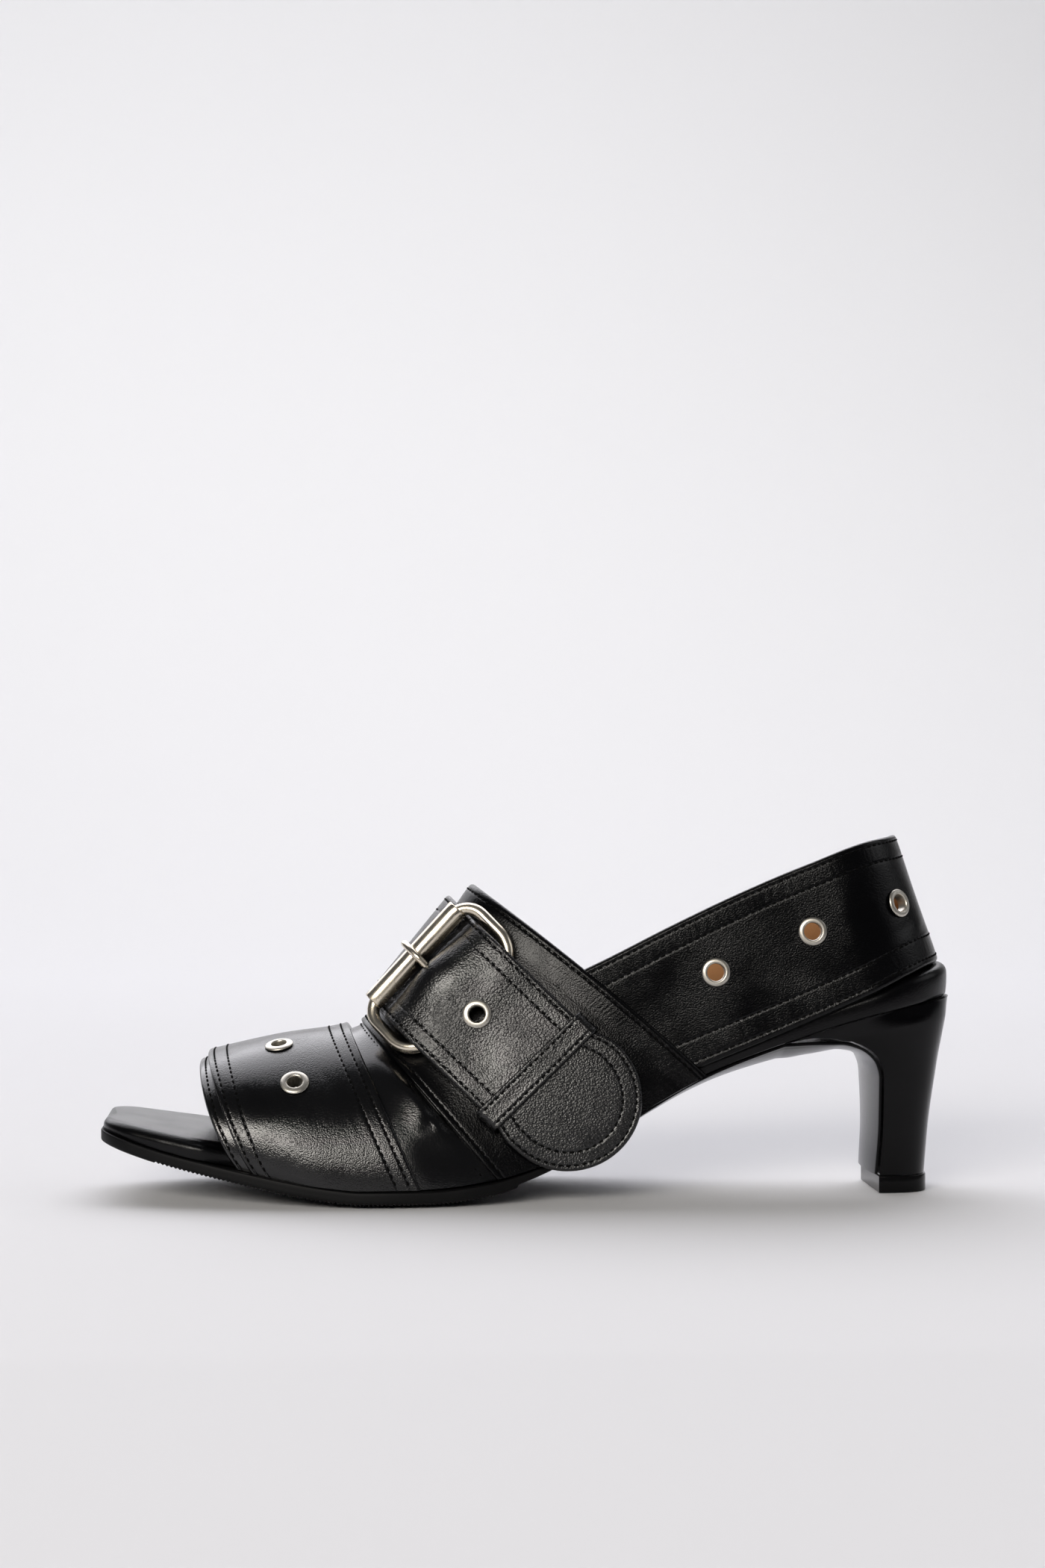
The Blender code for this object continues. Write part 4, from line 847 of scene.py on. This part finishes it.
# Keeper: a loop of folded leather round the strap, of the same pebbled leather, that holds the free tip down.
# Its ends are joined under the strap, and a row of stitches runs along each of its edges.
KEEPER_AT, KEEPER_WIDE, KEEPER_THICK, KEEPER_CORNER = 56.0, 6.7, 1.5, 1.0
keeper_low = strap_lift(KEEPER_AT) - GAP
keeper_high = strap_lift(KEEPER_AT) + STRAP_THICK + GAP
keeper_side = strap_half(KEEPER_AT) + 0.5


def keeper_loop(grow):
    """Rounded rectangle round the strap's section, across and above, grown by a thickness."""
    corner = KEEPER_CORNER + grow
    loop = []
    for sign_q, sign_o, turn in ((1, 1, 0), (-1, 1, 90), (-1, -1, 180), (1, -1, 270)):
        centre_q = sign_q * (keeper_side - KEEPER_CORNER)
        centre_o = keeper_high - KEEPER_CORNER if sign_o > 0 else keeper_low + KEEPER_CORNER
        for a in np.radians(np.linspace(turn, turn + 90, 8)):
            loop.append((centre_q + corner * np.cos(a), centre_o + corner * np.sin(a)))
        if turn in (0, 180):
            for share in np.linspace(0, 1, 26)[1:-1]:
                loop.append((centre_q * (1 - 2 * share), centre_o + sign_o * corner))
    return np.array(loop + loop[:1])


KEEPER_RIM, KEEPER_ROWS = 0.5, (1.2,)
half_wide = KEEPER_WIDE / 2
keeper_marks = [m for m in edge_marks(KEEPER_RIM, KEEPER_ROWS) if m < half_wide]
section = [(m - half_wide, KEEPER_THICK - float(face_height(m, KEEPER_RIM, KEEPER_ROWS)))
           for m in keeper_marks]
section.append((0.0, KEEPER_THICK - 0.3))
section += [(-place, grow) for place, grow in section[-2::-1]]
section += [(half_wide - 0.3, 0.0), (0.0, 0.0), (-half_wide + 0.3, 0.0)]
section.append(section[0])
points = []
for place, grow in section:
    loop = keeper_loop(max(grow, 0.0))
    points.append(strap_lay(KEEPER_AT + place, loop[:, 0], loop[:, 1]))
strap_keeper = skin("strap_keeper", np.array(points).transpose(1, 0, 2))
settle(strap_keeper, [strap_leather], "grained_leather", "keeper")

# Buckle: a bent and welded steel wire frame with a rolled tube on its front bar, plated in pale warm nickel.
# The strap goes under the roller, and the prong comes up through the strap and rests on the roller.
WIRE, WIRE_SHOWN, BAR_AT, ROLLER_OUT, ROLLER_HALF = 2.0, 1.75, 31.0, 3.0, 17.6
ROLLER_BORE = WIRE + GAP
roller_up = float(strap_lift(ROLLER_AT)) + STRAP_THICK + GAP + ROLLER_OUT
bar_up = 1.0 + WIRE
FRAME_HALF, FRAME_NEAR, FRAME_FAR = 21.0, 6.3, 9.0


def frame_point(across, share):
    """Point of the frame's plane: share 0 on the roller's axis, 1 on the heel bar's axis."""
    front, back = strap_point(ROLLER_AT, across, roller_up), strap_point(BAR_AT, across, bar_up)
    return front + (back - front) * np.asarray(share)[..., None]


def tube(name, path, radius, closed):
    """Round wire along a path: rings square to it, joined into a loop if it is closed."""
    ahead = np.roll(path, -1, 0) - np.roll(path, 1, 0)
    if not closed:
        ahead[0], ahead[-1] = path[1] - path[0], path[-1] - path[-2]
    ahead = unit(ahead)
    up = unit(np.cross(path[len(path) // 3] - path[0], path[2 * len(path) // 3] - path[0]))
    side = unit(np.cross(ahead, np.broadcast_to(up, ahead.shape)))
    over = np.cross(side, ahead)
    turn = np.linspace(0, 2 * np.pi, 25)[:, None]
    ring = side[:, None] * np.cos(turn) + over[:, None] * np.sin(turn)
    rings = path[:, None] + np.broadcast_to(radius, len(path))[:, None, None] * ring
    if closed:
        rings = np.concatenate([rings, rings[:1]])
    return skin(name, rings)


frame_long = float(np.linalg.norm(frame_point(0.0, 1.0) - frame_point(0.0, 0.0)))
path = []
for sign_q, far_end, turn in ((1, True, 0), (-1, True, 90), (-1, False, 180), (1, False, 270)):
    bend = FRAME_FAR if far_end else FRAME_NEAR
    for a in np.radians(np.linspace(turn, turn + 90, 16)):
        q = sign_q * (FRAME_HALF - bend) + bend * math.cos(a)
        s = (frame_long - bend if far_end else bend) + bend * math.sin(a)
        path.append(frame_point(q, s / frame_long))
    for share in np.linspace(0, 1, 10)[1:-1]:
        if turn in (0, 180):
            q = sign_q * (FRAME_HALF - bend) * (1 - 2 * share)
            path.append(frame_point(q, 1.0 if far_end else 0.0))
        else:
            s = FRAME_NEAR + (frame_long - FRAME_NEAR - FRAME_FAR) * (1 - share if far_end else share)
            path.append(frame_point(sign_q * FRAME_HALF, s / frame_long))
wire_frame = tube("wire_frame", np.array(path), WIRE_SHOWN, True)


def plated(name, cloud_mm, smooth, clouded, bright, dull, scuffed=0.0):
    """Nickel plate over steel: clouded in patches, and scuffed where it is handled."""
    material, tree = surface(name)
    spot = node(tree, "TexCoord", {}, {})
    cloud = noise(tree, spot, cloud_mm, 4.0)
    rough = ranged(tree, cloud, 0.3, 0.7, smooth, clouded)
    shade = two_tone(tree, cloud, bright, dull)
    inputs = {"Base Color": shade.outputs[0], "Metallic": 1.0, "Roughness": rough.outputs[0]}
    if scuffed:
        scuff = noise(tree, spot, 0.7, 5.0)
        bump = node(tree, "Bump", {}, {"Height": scuff.outputs[0], "Strength": scuffed, "Distance": 0.1 * MM})
        inputs["Normal"] = bump.outputs[0]
    finish(tree, inputs)
    return material


# Steel polished before plating: nearly a mirror, a little clouded, with fine scuffs from the strap.
nickel = plated("plated_warm_nickel", 5.0, 0.19, 0.3, "#efe7d8", "#d8ccb6", 0.06)
settle(wire_frame, [nickel], "buckle_metal", "buckle_frame")


def turned(name, profile, axis, origin, sides):
    """Closed profile of radius and height swung round an axis at a point."""
    axis = unit(np.asarray(axis, float))
    side = unit(np.cross(axis, np.array((0.31, 0.52, 0.79))))
    over = np.cross(axis, side)
    profile = np.array(list(profile) + [profile[0]])
    turn = np.linspace(0, 2 * np.pi, sides + 1)
    ring = side * np.cos(turn)[:, None] + over * np.sin(turn)[:, None]
    return skin(name, origin + ring[:, None] * profile[None, :, :1] + axis * profile[None, :, 1:])


roller_axis = frame_point(ROLLER_HALF, 0.0) - frame_point(-ROLLER_HALF, 0.0)
profile = [(ROLLER_BORE, -ROLLER_HALF + 0.2), (ROLLER_BORE + 0.2, -ROLLER_HALF),
           (ROLLER_OUT - 0.3, -ROLLER_HALF), (ROLLER_OUT - 0.08, -ROLLER_HALF + 0.1),
           (ROLLER_OUT, -ROLLER_HALF + 0.35)]
profile += [(ROLLER_OUT, h) for h in np.linspace(-ROLLER_HALF + 2, ROLLER_HALF - 2, 12)]
profile += [(r, -h) for r, h in reversed(profile[:5])]
roller_tube = turned("roller_tube", profile, roller_axis, frame_point(0.0, 0.0), 48)
settle(roller_tube, [nickel], "buckle_metal", "buckle_roller")

PRONG, PRONG_TIP = 1.0, 1.3
PRONG_ALONG = (BAR_AT - 3.8, BAR_AT - 6.5, 22.0, 19.6, 17.8, 16.4, 14.9, 13.2, 11.6, 10.5)
PRONG_ABOVE = [bar_up + 0.5, bar_up + 0.9, 4.2, 5.4, 7.4]
PRONG_ABOVE += [roller_up + up for up in (3.0, 4.0, 4.3, 3.9, 3.0)]
knots = strap_point(PRONG_ALONG, 0.0, PRONG_ABOVE)
knot_at = lengths_along(knots)
tip = np.array((0.0, 0.15, 0.4, 0.8))
fine = np.concatenate([tip, np.linspace(PRONG_TIP, knot_at[-1] - PRONG_TIP, 40), knot_at[-1] - tip[::-1]])
path = np.stack([curve(knot_at, knots[:, k])(fine) for k in range(3)], -1)
end = np.minimum(fine, knot_at[-1] - fine)
taper = PRONG * np.sqrt(np.clip(1 - (1 - np.clip(end / PRONG_TIP, 0, 1)) ** 2, 0.01, 1))
tongue = tube("prong_tongue", path, taper, False)
settle(tongue, [nickel], "buckle_metal", "buckle_prong")

# Eyelets: stamped rings of satin nickel, each a domed flange and a barrel set through a punched hole.
# There are six round the counter, four on the toe band and one on the strap, in a spare hole for the prong.
EYELET_OUT, BARREL = 4.0, 2.75
# Steel tumbled before plating: it shines softly and mirrors nothing sharply.
eyelet_nickel = plated("satin_nickel", 2.2, 0.34, 0.44, "#ccc8bf", "#b5b0a6")


def punch_out(piece, punch):
    """Cuts a shape out of a piece and takes the shape away."""
    hole = piece.modifiers.new("hole", "BOOLEAN")
    hole.operation = "DIFFERENCE"
    hole.solver = "EXACT"
    hole.object = punch
    bpy.context.view_layer.objects.active = piece
    bpy.ops.object.modifier_apply(modifier="hole")
    bpy.data.objects.remove(punch, do_unlink=True)


def eyelet(name, face, axis, depth, seat, bore, layers):
    """Sets one eyelet on a face, with its hole punched through the leather, in place of its solid."""
    axis = unit(np.asarray(axis, float))
    crown = seat + 0.1
    dome = [(bore, crown)]
    dome += [(bore + 0.45 - 0.45 * math.cos(a), crown + 0.6 * math.sin(a))
             for a in np.radians((20, 45, 70, 90))]
    dome += [(bore + 0.5 + (EYELET_OUT - bore - 0.5) * math.sin(a), crown + 0.6 * math.cos(a))
             for a in np.radians((10, 25, 40, 55, 68, 80, 90))]
    dome += [(EYELET_OUT - 0.15, seat), (BARREL, seat), (BARREL, -depth), (bore, -depth)]
    ring = turned("ring_" + name, dome, axis, face, 48)
    settle(ring, [eyelet_nickel], "eyelet_metal", name)
    for piece in layers:
        bpy.ops.object.select_all(action="DESELECT")
        middle = Vector((face - axis * depth * 0.5 - CENTRE) * MM)
        turn = Vector(axis).to_track_quat("Z", "Y").to_euler()
        bpy.ops.mesh.primitive_cylinder_add(vertices=32, radius=(BARREL + 0.1) * MM, depth=(depth + 5.0) * MM,
                                            location=middle, rotation=turn)
        punch_out(piece, bpy.context.active_object)


number = 0
for ahead, up in ((0.312, 0.57), (0.506, 0.56), (0.762, 0.505)):
    for round_heel in (ahead, 2.0 - ahead):
        number += 1
        axis = counter_normal(round_heel, up)
        face = counter_point(round_heel, up) + axis * COUNTER_WALL
        eyelet("eyelet_counter_%d" % number, face, axis, COUNTER_WALL, 0.2, 2.45, [heel_counter])
for number, (run, around) in enumerate(((21.9, -0.515), (20.7, -0.22), (21.5, 0.3), (21.5, 0.58)), 1):
    axis = last_normal(run, around)
    face = on_last(run, around, TOE_TOP)
    eyelet("eyelet_toe_%d" % number, face, axis, TOE_TOP, 0.15, 2.05, [toe_band, under_vamp])
EYELET_AT = 35.2
strap_up = float(strap_lift(EYELET_AT) + hump(EYELET_AT, 0.0)) + STRAP_THICK
near, far = (strap_lay(EYELET_AT + step, 0, strap_lift(EYELET_AT + step)) for step in (-1, 1))
aside = strap_lay(EYELET_AT, 1, strap_up) - strap_lay(EYELET_AT, -1, strap_up)
axis = unit(np.cross(aside, far - near))
axis = -axis if axis[1] > 0 else axis
eyelet("eyelet_strap", strap_lay(EYELET_AT, 0, strap_up), axis, STRAP_THICK, 0.25, 2.2, [instep_strap])

# Prong hole: a round hole punched through the strap just behind the roller, and hidden by the prong.
# It has no eyelet of its own; the edge of the leather is left raw.
HOLE_AT, HOLE_RADIUS, HOLE_DEPTH = 17.2, 2.3, 14.0
bpy.ops.object.select_all(action="DESELECT")
hole_axis = unit(along_line(HOLE_AT, girth_length, girth_flat))
hole_along = unit(strap_point(HOLE_AT + 1, 0, 0) - strap_point(HOLE_AT - 1, 0, 0))
hole_side = np.cross(hole_axis, hole_along)
bpy.ops.mesh.primitive_cylinder_add(vertices=32, radius=HOLE_RADIUS * MM, depth=HOLE_DEPTH * MM)
punch = bpy.context.active_object
middle = strap_point(HOLE_AT, 0, strap_lift(HOLE_AT) + 2.5)
for vertex in punch.data.vertices:
    place = np.array(vertex.co)
    vertex.co = (middle - CENTRE) * MM + hole_along * place[0] + hole_side * place[1] + hole_axis * place[2]
punch_out(instep_strap, punch)

# Stitching: bonded black nylon thread, about twelve stitches to the inch, in rows along the leather's edges.
# Each stitch is a short bar with its ends pulled down into the groove.
PITCH, STITCH, THREAD = 2.15, 1.35, 0.28
# Nylon twisted and bonded with resin: matt black and faintly ribbed.
thread, tree = surface("black_bonded_thread")
spot = node(tree, "TexCoord", {}, {})
twist = noise(tree, spot, 0.3)
bump = node(tree, "Bump", {}, {"Height": twist.outputs[0], "Strength": 0.3, "Distance": 0.05 * MM})
shade = two_tone(tree, twist, "#030303", "#070707")
finish(tree, {"Base Color": shade.outputs[0], "Roughness": 0.7, "Normal": bump.outputs[0], "IOR": 1.14})
RINGS = ((-0.5, 0.25), (-0.38, 0.8), (-0.15, 1.0), (0.15, 1.0), (0.38, 0.8), (0.5, 0.25))
SIDES, THREAD_FLAT, STITCH_DIP = 6, 0.8, 2.24


def sew(name, rows):
    """One object of all the stitches of a piece: rows are lines of points with their outward directions."""
    vertices, faces = [], []
    turn = (np.arange(SIDES) * 2 * np.pi / SIDES)[:, None]
    for points, outward in rows:
        length = lengths_along(points)
        for middle in np.arange(PITCH / 2, length[-1], PITCH):
            here = along_line(middle, length, points)
            ahead = unit(along_line(middle + 0.5, length, points) - along_line(middle - 0.5, length, points))
            out = unit(along_line(middle, length, outward))
            side = unit(np.cross(out, ahead))
            ring = side * np.cos(turn) + out * THREAD_FLAT * np.sin(turn)
            first = len(vertices)
            for place, thick in RINGS:
                centre = here + ahead * place * STITCH - out * STITCH_DIP * THREAD * place ** 2
                vertices.extend(centre + THREAD * thick * ring)
            for low in range(first, first + (len(RINGS) - 1) * SIDES, SIDES):
                for s in range(SIDES):
                    t = (s + 1) % SIDES
                    faces.append((low + s, low + t, low + SIDES + t, low + SIDES + s))
            faces.append(tuple(first + s for s in reversed(range(SIDES))))
            faces.append(tuple(first + (len(RINGS) - 1) * SIDES + s for s in range(SIDES)))
    mesh = bpy.data.meshes.new(name)
    mesh.from_pydata([((v - CENTRE) * MM).tolist() for v in vertices], [], faces)
    piece = bpy.data.objects.new(name, mesh)
    bpy.context.scene.collection.objects.link(piece)
    bpy.ops.object.select_all(action="DESELECT")
    piece.select_set(True)
    bpy.context.view_layer.objects.active = piece
    bpy.ops.object.mode_set(mode="EDIT")
    bpy.ops.mesh.select_all(action="SELECT")
    bpy.ops.mesh.normals_make_consistent(inside=False)
    bpy.ops.object.mode_set(mode="OBJECT")
    bpy.ops.object.shade_smooth()
    settle(piece, [thread], "grained_leather")


SUNK = 0.03


def band_row(start, end, kind, offset, top, relief):
    """Line of one stitch row along a band's edge, with its outward directions."""
    around = np.linspace(-0.985, 0.985, 400)
    runs, inset, width = band_runs(start, end, around, [(kind, offset)])
    height = top - SUNK + relief(runs, around[:, None], inset, width[:, None])
    return on_last(runs, around[:, None], height)[:, 0], last_normal(runs, around[:, None])[:, 0]


PANEL_ROW = 3.0
sew("vamp_stitches", [band_row(0.0, VAMP_END, "first", VAMP_ROWS[0], VAMP_TOP, vamp_relief)])
sew("panel_stitches", [band_row(BAND_REAR, SEAM_RUN, "last", PANEL_ROW, BAND_UNDER,
                                lambda run, *rest: 0.0 * run)])
toe_rows = [band_row(BAND_FRONT, BAND_REAR, "first", m, TOE_TOP, toe_relief) for m in TOE_FIRST]
toe_rows += [band_row(BAND_FRONT, BAND_REAR, "last", m, TOE_TOP, toe_relief) for m in TOE_LAST]
sew("toe_band_stitches", toe_rows)
sew("instep_stitches", [band_row(SEAM_RUN, COLLAR_RUN, kind, INSTEP_ROWS[0], INSTEP_TOP, instep_relief)
                        for kind in ("first", "last")])
belt_rows = []
belt = np.linspace(0.02, 1.98, 700)
belt_tall = np.linalg.norm(counter_point(belt, 1.0) - counter_point(belt, 0.0), axis=-1)
for up in [m / belt_tall for m in COUNTER_LOW_ROWS] + [1 - m / belt_tall for m in COUNTER_TOP_ROWS]:
    out = counter_normal(belt, up)
    belt_rows.append((counter_point(belt, up) + out * (COUNTER_WALL - SUNK), out))
sew("counter_stitches", belt_rows)
strap_rows = []
turn = np.radians(np.linspace(0, 180, 120))[1:-1]
for row in STRAP_ROWS:
    sides = [np.linspace(sole_end(sign * (STRAP_HALF - row)) + 1.0, tip_centre, 300) for sign in (-1, 1)]
    along = np.concatenate([sides[0], tip_centre + (TIP_RADIUS - row) * np.sin(turn), sides[1][::-1]])
    across = np.concatenate([row - strap_half(sides[0]), (row - TIP_RADIUS) * np.cos(turn),
                             (strap_half(sides[1]) - row)[::-1]])
    above = strap_lift(along) + hump(along, across) + STRAP_THICK - SUNK + strap_relief(along, across, row)
    line = strap_lay(along, across, above)
    out = unit(strap_lay(along, across, above + 1.0) - line)
    # The inner row stops short of the buckle on both sides of it.
    bare = (along > 3.0) & (along < 25.0) & (row > 4.0)
    for part in np.split(np.arange(len(along)), np.nonzero(np.diff(bare))[0] + 1):
        if not bare[part[0]]:
            strap_rows.append((line[part], out[part]))
sew("strap_stitches", strap_rows)
keeper_rows = []
loop, wider = keeper_loop(KEEPER_THICK - SUNK), keeper_loop(KEEPER_THICK - SUNK + 1.0)
shown = slice(8, 34)
for place in (-half_wide + KEEPER_ROWS[0], half_wide - KEEPER_ROWS[0]):
    line = strap_lay(KEEPER_AT + place, loop[:, 0], loop[:, 1])
    outward = unit(strap_lay(KEEPER_AT + place, wider[:, 0], wider[:, 1]) - line)
    keeper_rows.append((line[shown], outward[shown]))
sew("keeper_stitches", keeper_rows)
